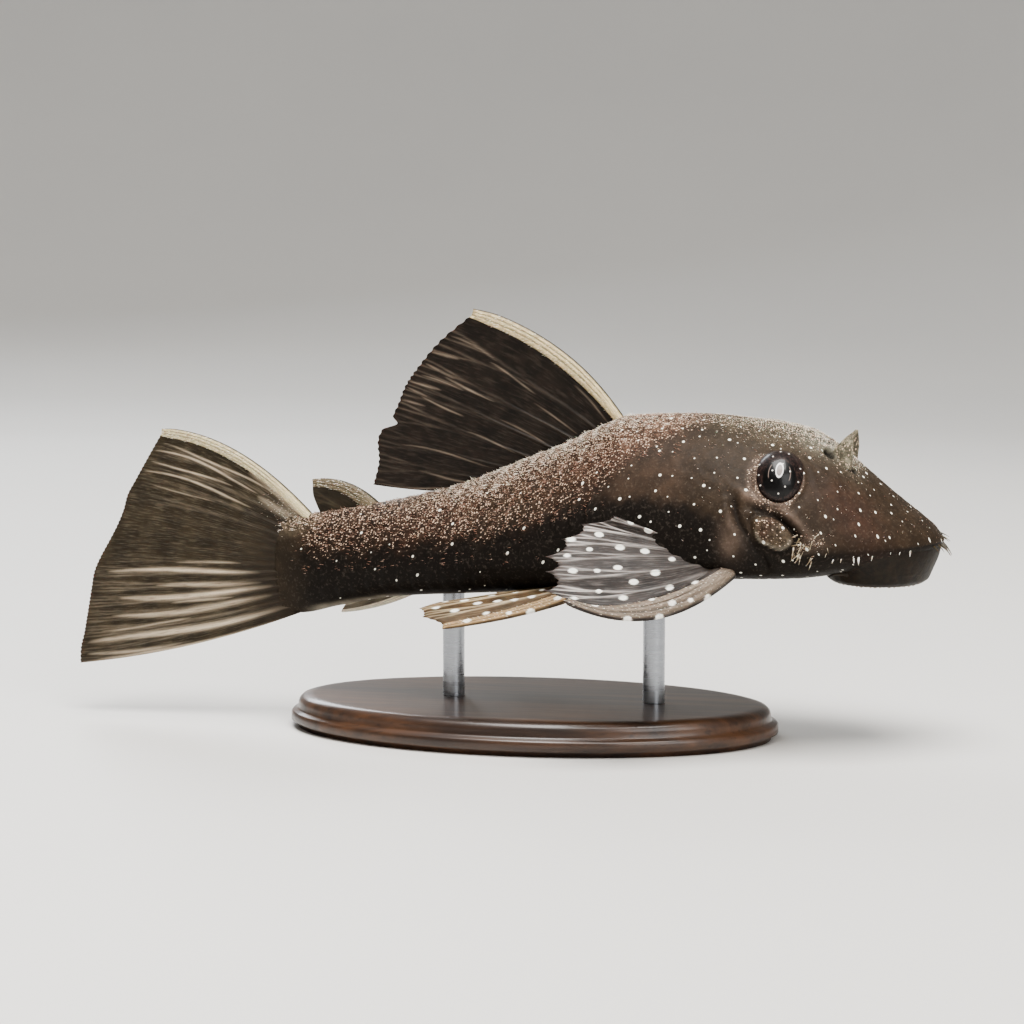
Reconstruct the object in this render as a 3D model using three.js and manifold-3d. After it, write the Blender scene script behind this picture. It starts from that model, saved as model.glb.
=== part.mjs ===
// A bristlenose pleco, life size, held level on a small display stand.
// Millimetres, +Z up, the snout towards +X. The origin is under the middle of the whole piece, on the floor.
// The fish itself is drawn in its own frame: x runs forward from the base of the tail fin, z up from
// the lowest point of the tail fin, and y to the fish's left. An angle round the body is in radians,
// 0 on the back, a quarter turn at the side and a half turn underneath, with its sign telling the side.
import * as THREE from "three";
import { LoftGeometry } from "three/addons/geometries/LoftGeometry.js";
import { mergeVertices } from "three/addons/utils/BufferGeometryUtils.js";
import Module from "manifold-3d";

const wasm = await Module();
wasm.setup();

// Driving sizes
const SNOUT_X = 88.6; // tip of the snout ahead of the tail-fin base: the standard length
const TAIL_TIP_X = -33.1; // tip of the lower tail lobe
const TAIL_CLEARANCE = 6.6; // from the floor to the lowest point of the tail fin
const GAP = 0.3; // left between neighbouring pieces
const TIDY = 0.02; // slivers smaller than this are taken out after a cut or a union
const HEAD_START_X = 57; // the cut behind the head
const STEM_START_X = 18; // the cut between torso and tail stem
const STEM_END_X = -2.4;
const PLATE_PITCH = 2.3; // length of one bony plate along the flank
const PLATE_LIFT = 0.34; // how far a plate's rear edge stands up
const PLATE_STEP = 0.4; // length of the step up to that edge
const PLATE_POINT = 0.8; // how far a plate's rear edge is drawn out at its middle
const MEMBRANE = 0.28; // half thickness of a fin between its rays
const RAY = 0.46; // half thickness of a fin at a soft ray

// Colours from the photograph
const FINISH = {
  skin: { color: 0x4b423b, roughness: 0.55 },
  lips: { color: 0x6a5646, roughness: 0.5 },
  eye: { color: 0x14110f, roughness: 0.08 },
  fin: { color: 0x4a443d, roughness: 0.5 },
  paleFin: { color: 0x7d7268, roughness: 0.5 },
  base: { color: 0x2a201a, roughness: 0.4 },
  rod: { color: 0xb9bcc0, roughness: 0.25, metalness: 1 },
};

const SIDES = [["left", 1], ["right", -1]];
const UP = new THREE.Vector3(0, 0, 1);
const flat = (x, z) => new THREE.Vector3(x, 0, z);
const vector = (x, y, z) => new THREE.Vector3(x, y, z);

// A smooth function of x through a few points, which never overshoots between them.
function smooth(points) {
  const last = points.length - 1;
  const slope = points.slice(1).map((p, i) => (p[1] - points[i][1]) / (p[0] - points[i][0]));
  const tangent = points.map((_, i) => {
    if (i === 0) return slope[0];
    if (i === last) return slope[last - 1];
    const turns = slope[i - 1] * slope[i] <= 0;
    return turns ? 0 : (2 * slope[i - 1] * slope[i]) / (slope[i - 1] + slope[i]);
  });
  return (x) => {
    if (x <= points[0][0]) return points[0][1];
    if (x >= points[last][0]) return points[last][1];
    const i = points.findIndex((p) => p[0] > x) - 1;
    const width = points[i + 1][0] - points[i][0];
    const t = (x - points[i][0]) / width;
    const from = points[i][1] * (1 + 2 * t) * (1 - t) ** 2 + width * tangent[i] * t * (1 - t) ** 2;
    const to = points[i + 1][1] * t * t * (3 - 2 * t) - width * tangent[i + 1] * t * t * (1 - t);
    return from + to;
  };
}

// A steady stream of numbers from 0 to 1, the same in every run.
function seededRandom(seed) {
  let state = seed;
  return () => {
    state = (state * 16807) % 2147483647;
    return state / 2147483647;
  };
}

// The body's side view: its back and its underside
const BACK = smooth([
  [-3, 22.2], [0, 22.5], [5.8, 23.4], [11.4, 24.4], [20.5, 26.5], [27.2, 28.8], [31.6, 30.7],
  [36.9, 32.8], [42.4, 35.4], [46.8, 37.2], [56, 37.5], [64.2, 36.9], [67.7, 36.4], [71.2, 35.6],
  [74.2, 34.0], [77.2, 31.5], [82.7, 26.8], [87, 23.4], [SNOUT_X, 22.0],
]);
const UNDERSIDE = smooth([
  [-3, 8.8], [0, 8.8], [5.7, 10.0], [15, 11.7], [28.6, 12.8], [39, 13.7], [49, 15.0], [60, 15.9],
  [70, 16.2], [76, 17.0], [82, 18.3], [87, 19.8], [SNOUT_X, 20.6],
]);

// The body from above: half its width up to the cheeks, then the round snout as a quarter of an ellipse
const SNOUT_ROOT_X = 64;
const SNOUT_HALF_WIDTH = 14.4;
const TRUNK_HALF_WIDTH = smooth([
  [-3, 1.5], [0, 2.4], [5, 3.5], [12, 5.0], [20, 6.9], [30, 9.1], [40, 11.2], [48, 12.8], [55, 13.9],
  [61, SNOUT_HALF_WIDTH], [SNOUT_ROOT_X, SNOUT_HALF_WIDTH],
]);
function halfWidth(x) {
  if (x < SNOUT_ROOT_X) return TRUNK_HALF_WIDTH(x);
  const share = (x - SNOUT_ROOT_X) / (SNOUT_X - SNOUT_ROOT_X);
  return SNOUT_HALF_WIDTH * Math.sqrt(Math.max(0, 1 - share ** 2));
}

// The level where the body is widest, and how square its section is above and below that level
const WIDEST = smooth([
  [-3, 15.5], [8, 16.5], [20, 18.2], [35, 19.4], [50, 20.6], [64, 21.4], [80, 21.2], [SNOUT_X, 21.2],
]);
const UPPER_POWER = smooth([
  [-3, 2.2], [10, 2.0], [25, 1.75], [48, 1.7], [60, 1.75], [68, 1.62], [76, 1.7], [SNOUT_X, 2.1],
]);
const LOWER_POWER = smooth([[-3, 2.2], [10, 2.3], [25, 2.9], [60, 3.2], [80, 2.6], [SNOUT_X, 2.1]]);
const TIP_ROUNDING = 1.6; // the snout's rim is rounded over this length

// A point of the bare body.
function skinPoint(x, angle) {
  const share = Math.max(0, (x - SNOUT_X + TIP_ROUNDING) / TIP_ROUNDING);
  const depth = Math.sqrt(Math.max(0, 1 - share ** 2));
  const across = Math.sin(angle);
  const along = Math.cos(angle);
  const level = WIDEST(x);
  const power = 2 / (along > 0 ? UPPER_POWER(x) : LOWER_POWER(x));
  const reach = along > 0 ? BACK(x) - level : level - UNDERSIDE(x);
  const y = Math.sign(across) * halfWidth(x) * Math.abs(across) ** power;
  const z = level + Math.sign(along) * reach * depth * Math.abs(along) ** power;
  return vector(x, y, z);
}

// The direction out of the bare body there, from its neighbours round the section and along the body.
function skinNormal(x, angle) {
  const turn = 0.04;
  const step = 0.4;
  const round = skinPoint(x, angle + turn).sub(skinPoint(x, angle - turn));
  const ahead = Math.min(x + step, SNOUT_X - 0.02);
  const along = skinPoint(ahead, angle).sub(skinPoint(x - step, angle));
  return along.cross(round).normalize();
}

// A three.js geometry as a solid, and back.
function solidOf(geometry) {
  const bare = new THREE.BufferGeometry();
  bare.setAttribute("position", geometry.getAttribute("position").clone());
  bare.setIndex(geometry.getIndex());
  const merged = mergeVertices(bare, 1e-4);
  const index = merged.index.array;
  const faces = [];
  for (let i = 0; i < index.length; i += 3) {
    const [a, b, c] = [index[i], index[i + 1], index[i + 2]];
    if (a !== b && b !== c && a !== c) faces.push(a, b, c);
  }
  const make = () =>
    new wasm.Manifold(
      new wasm.Mesh({
        numProp: 3,
        vertProperties: merged.attributes.position.array,
        triVerts: new Uint32Array(faces),
      }),
    );
  const made = make();
  if (made.volume() > 0) return made;
  for (let i = 0; i < faces.length; i += 3) [faces[i + 1], faces[i + 2]] = [faces[i + 2], faces[i + 1]];
  return make();
}

function geometryOf(solid) {
  const mesh = solid.getMesh();
  const position = new Float32Array(mesh.numVert * 3);
  for (let i = 0; i < mesh.numVert; i++) {
    const start = i * mesh.numProp;
    position.set(mesh.vertProperties.subarray(start, start + 3), i * 3);
  }
  const geometry = new THREE.BufferGeometry();
  geometry.setAttribute("position", new THREE.BufferAttribute(position, 3));
  geometry.setIndex(new THREE.BufferAttribute(new Uint32Array(mesh.triVerts), 1));
  geometry.computeVertexNormals();
  return geometry;
}

const cut = (solid, tool) => solid.subtract(tool).simplify(TIDY);
const join = (solids) => solids.reduce((all, one) => all.add(one)).simplify(TIDY);
const larger = (one, other) => (one.volume() > other.volume() ? one : other);
const largest = (solid) => solid.decompose().reduce(larger);

// A skin through rings of points, closed at both ends. The rings run anticlockwise seen from the last one.
const loft = (rings) => solidOf(new LoftGeometry(rings, { capStart: true, capEnd: true }));

// A right-hand solid, at -y, turned into the left-hand one.
function mirrored(solid) {
  const geometry = geometryOf(solid);
  geometry.scale(1, -1, 1);
  return solidOf(geometry);
}

// An ellipsoid of three half sizes, the third along a direction, first spun about that third axis.
function ellipsoid(centre, halfSizes, direction = UP, segments = 16, spin = 0) {
  const geometry = new THREE.SphereGeometry(1, segments, Math.round(segments * 0.7));
  geometry.rotateX(Math.PI / 2);
  geometry.scale(...halfSizes);
  geometry.rotateZ(spin);
  geometry.applyQuaternion(new THREE.Quaternion().setFromUnitVectors(UP, direction.clone().normalize()));
  geometry.translate(...centre);
  return solidOf(geometry);
}

// A tapered spine between two points, pushed aside in its middle, that ends in a small blunt tip.
const SPINE_TIP = 0.2; // width of the tip as a share of the root
function spine(from, to, rootRadius, bend = vector(0, 0, 0), corners = 4) {
  const middle = from.clone().lerp(to, 0.5).add(bend);
  const line = new THREE.QuadraticBezierCurve3(from, middle, to);
  const side = vector(0.1, 1, 0.05);
  return loft(
    [0, 0.5, 1].map((t) => {
      const forward = line.getTangent(t);
      const u = side.clone().cross(forward).normalize();
      const v = forward.clone().cross(u);
      const radius = rootRadius * (1 - (1 - SPINE_TIP) * t);
      return Array.from({ length: corners }, (_, i) => {
        const angle = (i / corners) * 2 * Math.PI;
        const round = u.clone().multiplyScalar(Math.cos(angle)).addScaledVector(v, Math.sin(angle));
        return line.getPoint(t).addScaledVector(round, radius);
      });
    }),
  );
}

// Rings of the body. A plate is a low ring and, a step ahead, a raised ring, both drawn out
// backwards between the borders of its row. It then sinks to the low ring of the next plate.
const ROUND = 40; // points round a ring
const PLATE_ROW_POINTS = 3; // of these, one row of plates spans three steps
const PLATED_POINTS = 15; // and the rows reach this many steps down from the back on either side
const BORDER_SHARE = 0.25; // how much of the lift is left at a border between two rows
function bodyRing({ x, lift = 0, point = 0 }, grow) {
  return Array.from({ length: ROUND }, (_, i) => {
    const steps = Math.min(i, ROUND - i);
    const plated = steps < PLATED_POINTS;
    const inside = plated && steps % PLATE_ROW_POINTS !== 0;
    const angle = (-i / ROUND) * 2 * Math.PI;
    const at = x - (inside ? point : 0);
    const rise = inside ? lift : plated ? lift * BORDER_SHARE : 0;
    return skinPoint(at, angle).addScaledVector(skinNormal(at, angle), grow + rise);
  });
}
const bodyLength = (rings, grow = 0) => loft(rings.map((ring) => bodyRing(ring, grow)));

function platedRings(from, to) {
  const count = Math.round((to - from) / PLATE_PITCH);
  const pitch = (to - from) / count;
  const rings = [{ x: from }, { x: from + PLATE_STEP, lift: PLATE_LIFT }];
  for (let k = 1; k < count; k++) {
    const start = from + k * pitch;
    rings.push({ x: start, point: PLATE_POINT });
    rings.push({ x: start + PLATE_STEP, lift: PLATE_LIFT, point: PLATE_POINT });
  }
  return [...rings, { x: to }];
}

const HEAD_RINGS = 20; // closer together towards the snout
function headRings(from) {
  const rings = Array.from({ length: HEAD_RINGS }, (_, k) => {
    const share = k / HEAD_RINGS;
    return { x: from + (SNOUT_X - from) * (0.5 * share + 0.5 * Math.sin((share * Math.PI) / 2)) };
  });
  return [...rings, { x: SNOUT_X - 0.1 }, { x: SNOUT_X - 0.01 }];
}

// The same body a gap bigger all over, which trims whatever grows from it.
const clearOfBody = bodyLength(
  [
    ...platedRings(STEM_END_X, STEM_START_X),
    ...platedRings(STEM_START_X, HEAD_START_X).slice(1),
    ...headRings(HEAD_START_X).slice(1),
  ],
  GAP,
);

const nodes = [];
const add = (name, solid, finish) => nodes.push({ name, solid: largest(solid), finish });

// Torso and tail stem, covered in plates
add("torso", bodyLength(platedRings(STEM_START_X + GAP / 2, HEAD_START_X - GAP / 2)), FINISH.skin);
add("tail_stem", bodyLength(platedRings(STEM_END_X, STEM_START_X - GAP / 2)), FINISH.skin);

// The head starts as a smooth length of the body
let head = bodyLength(headRings(HEAD_START_X + GAP / 2));

// Eyes: an egg-shaped ball in a socket whose bony rim stands up round it
const EYE = { x: 67.8, angle: 0.9, halfLength: 4.0, halfHeight: 4.6, halfDepth: 4.1, sunk: 2.6 };
const EYE_TILT = 0.5; // how far the eye looks up, against looking straight out
const ORBIT_WIDTH = 0.75; // thickness of the rim
const ORBIT_HEIGHT = 0.45; // how far the rim stands out of the skin
for (const [sideName, side] of SIDES) {
  const out = skinNormal(EYE.x, side * EYE.angle).lerp(vector(0.1, side, 0.1), EYE_TILT).normalize();
  const seat = skinPoint(EYE.x, side * EYE.angle);
  const centre = seat.clone().addScaledVector(out, -EYE.sunk);
  const ball = (grow) =>
    ellipsoid(centre, [EYE.halfLength + grow, EYE.halfHeight + grow, EYE.halfDepth + grow], out, 14);
  const rimTop = seat.dot(out) + ORBIT_HEIGHT;
  const rim = ball(GAP + ORBIT_WIDTH).trimByPlane(out.clone().negate().toArray(), -rimTop);
  head = cut(join([head, rim]), ball(GAP));
  add("eye_" + sideName, ball(0), FINISH.eye);
}

// Gill covers: a small bare plate behind and below each eye, each in its own pocket
const GILL_COVER = { x: 67.7, angle: 1.33, halfSizes: [3.1, 2.6, 1.1], sunk: 0.4 };
const GILL_COVER_TILT = 0.35; // its front end lower than its rear
for (const [sideName, side] of SIDES) {
  const { x, angle, halfSizes, sunk } = GILL_COVER;
  const out = skinNormal(x, side * angle);
  const centre = skinPoint(x, side * angle).addScaledVector(out, -sunk);
  const grown = (grow) => halfSizes.map((size) => size + grow);
  const plate = (grow) => ellipsoid(centre, grown(grow), out, 12, side * GILL_COVER_TILT);
  head = cut(head, plate(GAP));
  add("gill_cover_" + sideName, plate(0), FINISH.skin);
}

// Nostrils: a pit in front of a small standing flap and another behind it
const NOSTRIL = { x: 75.5, y: 4.9 };
const NOSTRIL_FLAP = { height: 3.1, halfWidth: 1.3, halfThickness: 0.35, turn: 0.9, sunk: 0.8 };
const NOSTRIL_PITS = [-1.7, 1.5]; // their places behind and ahead of the flap
const NOSTRIL_PIT_HALF_SIZES = [0.85, 0.75, 0.6];
function onTop(x, y) {
  let [low, high] = [0, Math.PI / 2];
  for (let i = 0; i < 20; i++) {
    const middle = (low + high) / 2;
    if (skinPoint(x, middle).y < Math.abs(y)) low = middle;
    else high = middle;
  }
  return Math.sign(y) * low;
}
for (const [, side] of SIDES) {
  const { x, y } = NOSTRIL;
  const { height, halfWidth, halfThickness, turn, sunk } = NOSTRIL_FLAP;
  const angle = onTop(x, side * y);
  const out = skinNormal(x, angle);
  const lean = vector(0.3, 0, 1).normalize();
  const halfHeight = (height + sunk) / 2;
  const centre = skinPoint(x, angle).addScaledVector(lean, halfHeight - sunk);
  const flap = ellipsoid(centre, [halfWidth, halfThickness, halfHeight], lean, 8, side * turn);
  const pits = NOSTRIL_PITS.map((ahead) =>
    ellipsoid(skinPoint(x + ahead, angle), NOSTRIL_PIT_HALF_SIZES, out, 6),
  );
  head = join([pits.reduce(cut, head), flap]);
}

// Bristles: one row along the snout's rim, those at the tip reaching forward and those at the side drooping
const random = seededRandom(7);
const BRISTLE_RADIUS = 0.34;
const BRISTLE_STEPS = 8; // to either side of the foremost one
const BRISTLE_SPREAD = 0.165; // between neighbours, in radians round the snout's outline
const BRISTLE_LENGTHS = [1.9, 2.8];
const BRISTLE_ROOT = 0.9; // sunk into the rim
const bristles = [];
for (let k = -BRISTLE_STEPS; k <= BRISTLE_STEPS; k++) {
  const turn = k * BRISTLE_SPREAD;
  const onRim = vector(
    SNOUT_ROOT_X + (SNOUT_X - SNOUT_ROOT_X) * Math.cos(turn),
    SNOUT_HALF_WIDTH * Math.sin(turn),
    WIDEST(SNOUT_X) - 0.2,
  );
  const out = vector(Math.cos(turn), 1.5 * Math.sin(turn), 0).normalize();
  const droop = 0.45 + 0.9 * Math.abs(Math.sin(turn));
  const direction = out.clone().addScaledVector(UP, -droop).normalize();
  const length = k === 0 ? BRISTLE_LENGTHS[0] : THREE.MathUtils.lerp(...BRISTLE_LENGTHS, random());
  const root = onRim.clone().addScaledVector(out, -BRISTLE_ROOT);
  const tip = onRim.clone().addScaledVector(direction, length);
  bristles.push(spine(root, tip, BRISTLE_RADIUS, vector(0, 0, 0.15 * length)));
}

// Cheek spines: a small fan of hooks below each gill cover, swept back and down
const CHEEK_SPINES = 9;
const CHEEK_SPINE_RADIUS = 0.32;
const CHEEK_SPINE_LENGTHS = [2.2, 3.2];
const CHEEK_SPINE_ROOT = 0.8; // sunk into the cheek
const CHEEK_SPINE_BEND = 0.5;
for (const [, side] of SIDES)
  for (let k = 0; k < CHEEK_SPINES; k++) {
    const share = k / (CHEEK_SPINES - 1);
    const x = 73.6 - 2.2 * share + 0.5 * (k % 2);
    const angle = side * (1.62 + 0.3 * share);
    const seat = skinPoint(x, angle);
    const out = skinNormal(x, angle);
    const back = vector(-1, 0, -0.25 - 0.6 * share).addScaledVector(out, 0.55).normalize();
    const length = THREE.MathUtils.lerp(...CHEEK_SPINE_LENGTHS, random());
    const root = seat.clone().addScaledVector(out, -CHEEK_SPINE_ROOT);
    const tip = seat.addScaledVector(back, length);
    bristles.push(spine(root, tip, CHEEK_SPINE_RADIUS, out.multiplyScalar(CHEEK_SPINE_BEND)));
  }
add("head", join([head, ...bristles]), FINISH.skin);

// Sucker mouth: a round disc of lips under the snout, hollow in the middle, with a barbel at each corner
const MOUTH = { x: 80.0, halfLength: 7.4, halfWidth: 8.4, bottom: 15.5, top: 22 };
const MOUTH_PROFILE = [
  [0, MOUTH.top], [0.8, MOUTH.top], [0.97, 18.8], [1, 17.4], [0.92, 16.1], [0.78, MOUTH.bottom],
  [0.6, 15.8], [0.35, 16.6], [0, 16.8],
];
const MOUTH_OPENING = { x: 81.5, halfSizes: [2.2, 3.4, 1.3], z: 16.9 };
const BARBEL = { x: 77.2, length: 2.6, radius: 0.45 };
const lips = new THREE.LatheGeometry(MOUTH_PROFILE.map(([r, z]) => new THREE.Vector2(r, z)), 24);
lips.rotateX(Math.PI / 2);
lips.scale(MOUTH.halfLength, MOUTH.halfWidth, 1);
lips.translate(MOUTH.x, 0, 0);
const barbels = SIDES.map(([, side]) => {
  const root = vector(BARBEL.x, side * (MOUTH.halfWidth - 1.4), 17.2);
  const reach = vector(-0.5, side * 0.85, -0.05).normalize().multiplyScalar(BARBEL.length + 1);
  return spine(root, root.clone().add(reach), BARBEL.radius);
});
const opening = ellipsoid(vector(MOUTH_OPENING.x, 0, MOUTH_OPENING.z), MOUTH_OPENING.halfSizes, UP, 12);
const mouth = cut(join([cut(solidOf(lips), opening), ...barbels]), clearOfBody);
add("mouth", mouth, FINISH.lips);

// A fin as one thin blade. Each ray, from its root to its tip along a bowed line, is three columns of
// points: a thin edge, a thick crest and a thin edge. The first ray is the stout spine. With a notch,
// the margin falls back between the rays' tips.
const SPINE_TAPER = 0.6;
const RAY_TAPER = 0.45;
const WIDTH_TAPER = 0.55;
const MOST_WIDTH = 0.36; // half width of a ray at most, as a share of the room to its neighbours
const MARGIN_SHARE = 0.75; // thickness left along the margin
function fin({ rays, rows, notch = 0, spineHalf, spineWidth, rayWidth = 0.35 }) {
  const lines = rays.map(({ root, tip, bow }) => {
    const middle = root.clone().lerp(tip, 0.5).add(bow);
    return new THREE.QuadraticBezierCurve3(root, middle, tip);
  });
  const membrane = () => MEMBRANE;
  const columns = lines.flatMap((line, k) => {
    const stout = k === 0;
    const before = lines[Math.max(0, k - 1)];
    const after = lines[Math.min(lines.length - 1, k + 1)];
    const at = (side) => (t) => {
      const along = line.getTangent(t);
      const square = (to, from) => {
        const across = to.getPoint(t).sub(from.getPoint(t));
        return across.addScaledVector(along, -across.dot(along));
      };
      const rooms = [square(after, line).length(), square(line, before).length()].filter((room) => room > 0);
      const width = (stout ? spineWidth : rayWidth) * (1 - WIDTH_TAPER * t);
      const kept = Math.min(width, MOST_WIDTH * Math.min(...rooms));
      return line.getPoint(t).addScaledVector(square(after, before).normalize(), side * kept);
    };
    const crest = (t) => (stout ? spineHalf * (1 - SPINE_TAPER * t) : RAY * (1 - RAY_TAPER * t));
    const front = stout ? (t) => 0.55 * spineHalf * (1 - 0.5 * t) : membrane;
    const made = [
      { at: at(-1), half: front },
      { at: at(0), half: crest },
      { at: at(1), half: membrane },
    ];
    const next = lines[k + 1];
    if (next && notch > 0) {
      const between = (t) => line.getPoint(t * (1 - notch)).lerp(next.getPoint(t * (1 - notch)), 0.5);
      made.push({ at: between, half: membrane });
    }
    return made;
  });
  return blade(columns, rows);
}

// The blade through those columns: two faces split into triangles alike, and a rim that joins them.
function blade(columns, rows) {
  const last = columns.length - 1;
  const middle = columns.map(({ at }) => Array.from({ length: rows + 1 }, (_, j) => at(j / rows)));
  const pick = (i, j) => middle[Math.max(0, Math.min(last, i))][Math.max(0, Math.min(rows, j))];
  const positions = [];
  for (const face of [1, -1])
    for (let i = 0; i <= last; i++)
      for (let j = 0; j <= rows; j++) {
        const across = pick(i + 1, j).clone().sub(pick(i - 1, j));
        const along = pick(i, j + 1).clone().sub(pick(i, j - 1));
        const thickness = columns[i].half(j / rows) * (j === rows ? MARGIN_SHARE : 1);
        const out = across.cross(along).normalize();
        positions.push(...pick(i, j).clone().addScaledVector(out, face * thickness));
      }
  const front = (i, j) => i * (rows + 1) + j;
  const back = (i, j) => (last + 1) * (rows + 1) + front(i, j);
  const faces = [];
  const quad = (a, b, c, d) => faces.push(a, b, c, a, c, d);
  for (let i = 0; i < last; i++) {
    for (let j = 0; j < rows; j++) {
      quad(front(i, j), front(i + 1, j), front(i + 1, j + 1), front(i, j + 1));
      faces.push(back(i, j), back(i + 1, j + 1), back(i + 1, j));
      faces.push(back(i, j), back(i, j + 1), back(i + 1, j + 1));
    }
    quad(front(i, 0), back(i, 0), back(i + 1, 0), front(i + 1, 0));
    quad(front(i + 1, rows), back(i + 1, rows), back(i, rows), front(i, rows));
  }
  for (let j = 0; j < rows; j++) {
    quad(front(0, j + 1), back(0, j + 1), back(0, j), front(0, j));
    quad(front(last, j), back(last, j), back(last, j + 1), front(last, j + 1));
  }
  const geometry = new THREE.BufferGeometry();
  geometry.setAttribute("position", new THREE.Float32BufferAttribute(positions, 3));
  geometry.setIndex(faces);
  return solidOf(geometry);
}

// The roots of a fin's rays lie evenly between two points sunk in the body.
function raysFrom(first, last, rays) {
  return rays.map(({ tip, bow }, k) => ({ root: first.clone().lerp(last, k / (rays.length - 1)), tip, bow }));
}
const addFin = (name, shape, finish) => add(name, cut(fin(shape), clearOfBody), finish);

// Dorsal fin: the spine and seven soft rays, raised
const DORSAL_RAYS = [
  { tip: flat(24.7, 50.6), bow: flat(2.3, 4.2) },
  { tip: flat(20.2, 47.0), bow: flat(1.2, 2.0) },
  { tip: flat(17.0, 43.3), bow: flat(0.8, 1.0) },
  { tip: flat(15.2, 40.7), bow: flat(0.5, 0.6) },
  { tip: flat(13.8, 37.4), bow: flat(0, 0.4) },
  { tip: flat(11.4, 33.7), bow: flat(0, 0) },
  { tip: flat(11.4, 30.2), bow: flat(0, -0.3) },
  { tip: flat(10.6, 27.0), bow: flat(0, -0.9) },
];
const dorsalRays = raysFrom(flat(46.2, 35), flat(27.5, 26.5), DORSAL_RAYS);
addFin("dorsal_fin", { rays: dorsalRays, rows: 8, spineHalf: 0.9, spineWidth: 1.0 }, FINISH.fin);

// Adipose fin: a short stout spine with a small flap behind it
const ADIPOSE_RAYS = [
  { tip: flat(1.9, 27.0), bow: flat(0.6, 2.2) },
  { tip: flat(2.0, 25.2), bow: flat(0, 0.8) },
  { tip: flat(3.0, 22.8), bow: flat(0, 0) },
];
const adiposeRays = raysFrom(flat(10.6, 23.6), flat(4.4, 21.5), ADIPOSE_RAYS);
addFin("adipose_fin", { rays: adiposeRays, rows: 6, spineHalf: 0.75, spineWidth: 0.8 }, FINISH.fin);

// Tail fin: an upper spine, fourteen rays and a lower ray, fanned out to a slanting, hollow margin
const TAIL = { rays: 16, tipTop: 33.7, tipBottom: 0.5, rootTop: 22.0, rootBottom: 9.4, rootX: 1.5 };
const TAIL_ROOT_HOLLOW = 3; // the middle rays start this much further back
const TAIL_MARGIN = smooth([
  [0, -33.0], [1.4, TAIL_TIP_X], [4.8, -32.4], [10, -31.4], [14.4, -30.5], [17, -29.0], [19.6, -27.6],
  [21.6, -26.5], [25.5, -25.2], [27.5, -23.9], [30.1, -22.4], [34, -20.0],
]);
const tailRays = Array.from({ length: TAIL.rays }, (_, k) => {
  const share = k / (TAIL.rays - 1);
  const tipZ = THREE.MathUtils.lerp(TAIL.tipTop, TAIL.tipBottom, share);
  const rootZ = THREE.MathUtils.lerp(TAIL.rootTop, TAIL.rootBottom, share);
  const bow = 4.2 * (1 - share) ** 3 - 2.4 * share ** 3 + (k === 0 ? 1.2 : 0);
  return {
    root: flat(TAIL.rootX - TAIL_ROOT_HOLLOW * Math.sin(Math.PI * share), rootZ),
    tip: flat(TAIL_MARGIN(tipZ), tipZ),
    bow: flat(0, bow),
  };
});
addFin("caudal_fin", { rays: tailRays, rows: 7, spineHalf: 0.8, spineWidth: 0.7, rayWidth: 0.3 }, FINISH.fin);

// Anal fin: small, and folded back against the underside
const ANAL_RAYS = [
  { tip: flat(5.9, 9.2), bow: flat(0, -1.2) },
  { tip: flat(6.8, 10.6), bow: flat(0, -0.8) },
  { tip: flat(8.4, 12.6), bow: flat(0, 0) },
];
const analRays = raysFrom(flat(17.2, 12.8), flat(12.6, 15.4), ANAL_RAYS);
addFin("anal_fin", { rays: analRays, rows: 6, spineHalf: 0.5, spineWidth: 0.5 }, FINISH.fin);

// Paired fins, drawn on the right side and mirrored to the left
function addPair(name, shape) {
  const right = largest(cut(fin(shape), clearOfBody));
  add(name + "_right", right, FINISH.paleFin);
  add(name + "_left", mirrored(right), FINISH.paleFin);
}
const PECTORAL_RAYS = [
  { tip: vector(42.0, -23.0, 14.9), bow: vector(1.2, -4.4, -5.4) },
  { tip: vector(39.0, -22.0, 16.0), bow: vector(1.0, -3.6, -3.2) },
  { tip: vector(39.0, -20.5, 18.2), bow: vector(0.6, -2.4, -1.2) },
  { tip: vector(38.6, -18.6, 19.9), bow: vector(0.2, -1.2, 0.4) },
  { tip: vector(40.3, -16.6, 22.0), bow: vector(0, -0.8, 0.5) },
  { tip: vector(42.6, -14.8, 23.8), bow: vector(0, -0.6, 0.4) },
  { tip: vector(46.6, -14.2, 25.0), bow: vector(0, -0.6, 0.2) },
];
const PELVIC_RAYS = [
  { tip: vector(24.4, -16.6, 10.1), bow: vector(1.5, -1.8, -1.0) },
  { tip: vector(21.4, -15.2, 11.0), bow: vector(0.8, -1.4, -0.4) },
  { tip: vector(20.4, -13.0, 11.8), bow: vector(0.4, -0.8, 0) },
  { tip: vector(22.0, -11.0, 12.2), bow: vector(0, -0.4, 0) },
  { tip: vector(24.5, -9.0, 12.3), bow: vector(0, -0.2, 0) },
  { tip: vector(27.5, -7.0, 12.4), bow: vector(0, -0.1, 0) },
];
const pectoralRays = raysFrom(vector(61.5, -12.5, 18.0), vector(57.5, -11.5, 20.5), PECTORAL_RAYS);
const pelvicRays = raysFrom(vector(44.8, -8.4, 15.5), vector(40.5, -3.6, 14.8), PELVIC_RAYS);
const pectoralSpine = { spineHalf: 1.1, spineWidth: 1.3 };
const pelvicSpine = { spineHalf: 0.8, spineWidth: 1.0 };
addPair("pectoral_fin", { rays: pectoralRays, rows: 7, notch: 0.08, rayWidth: 0.45, ...pectoralSpine });
addPair("pelvic_fin", { rays: pelvicRays, rows: 6, notch: 0.07, rayWidth: 0.4, ...pelvicSpine });

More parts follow.
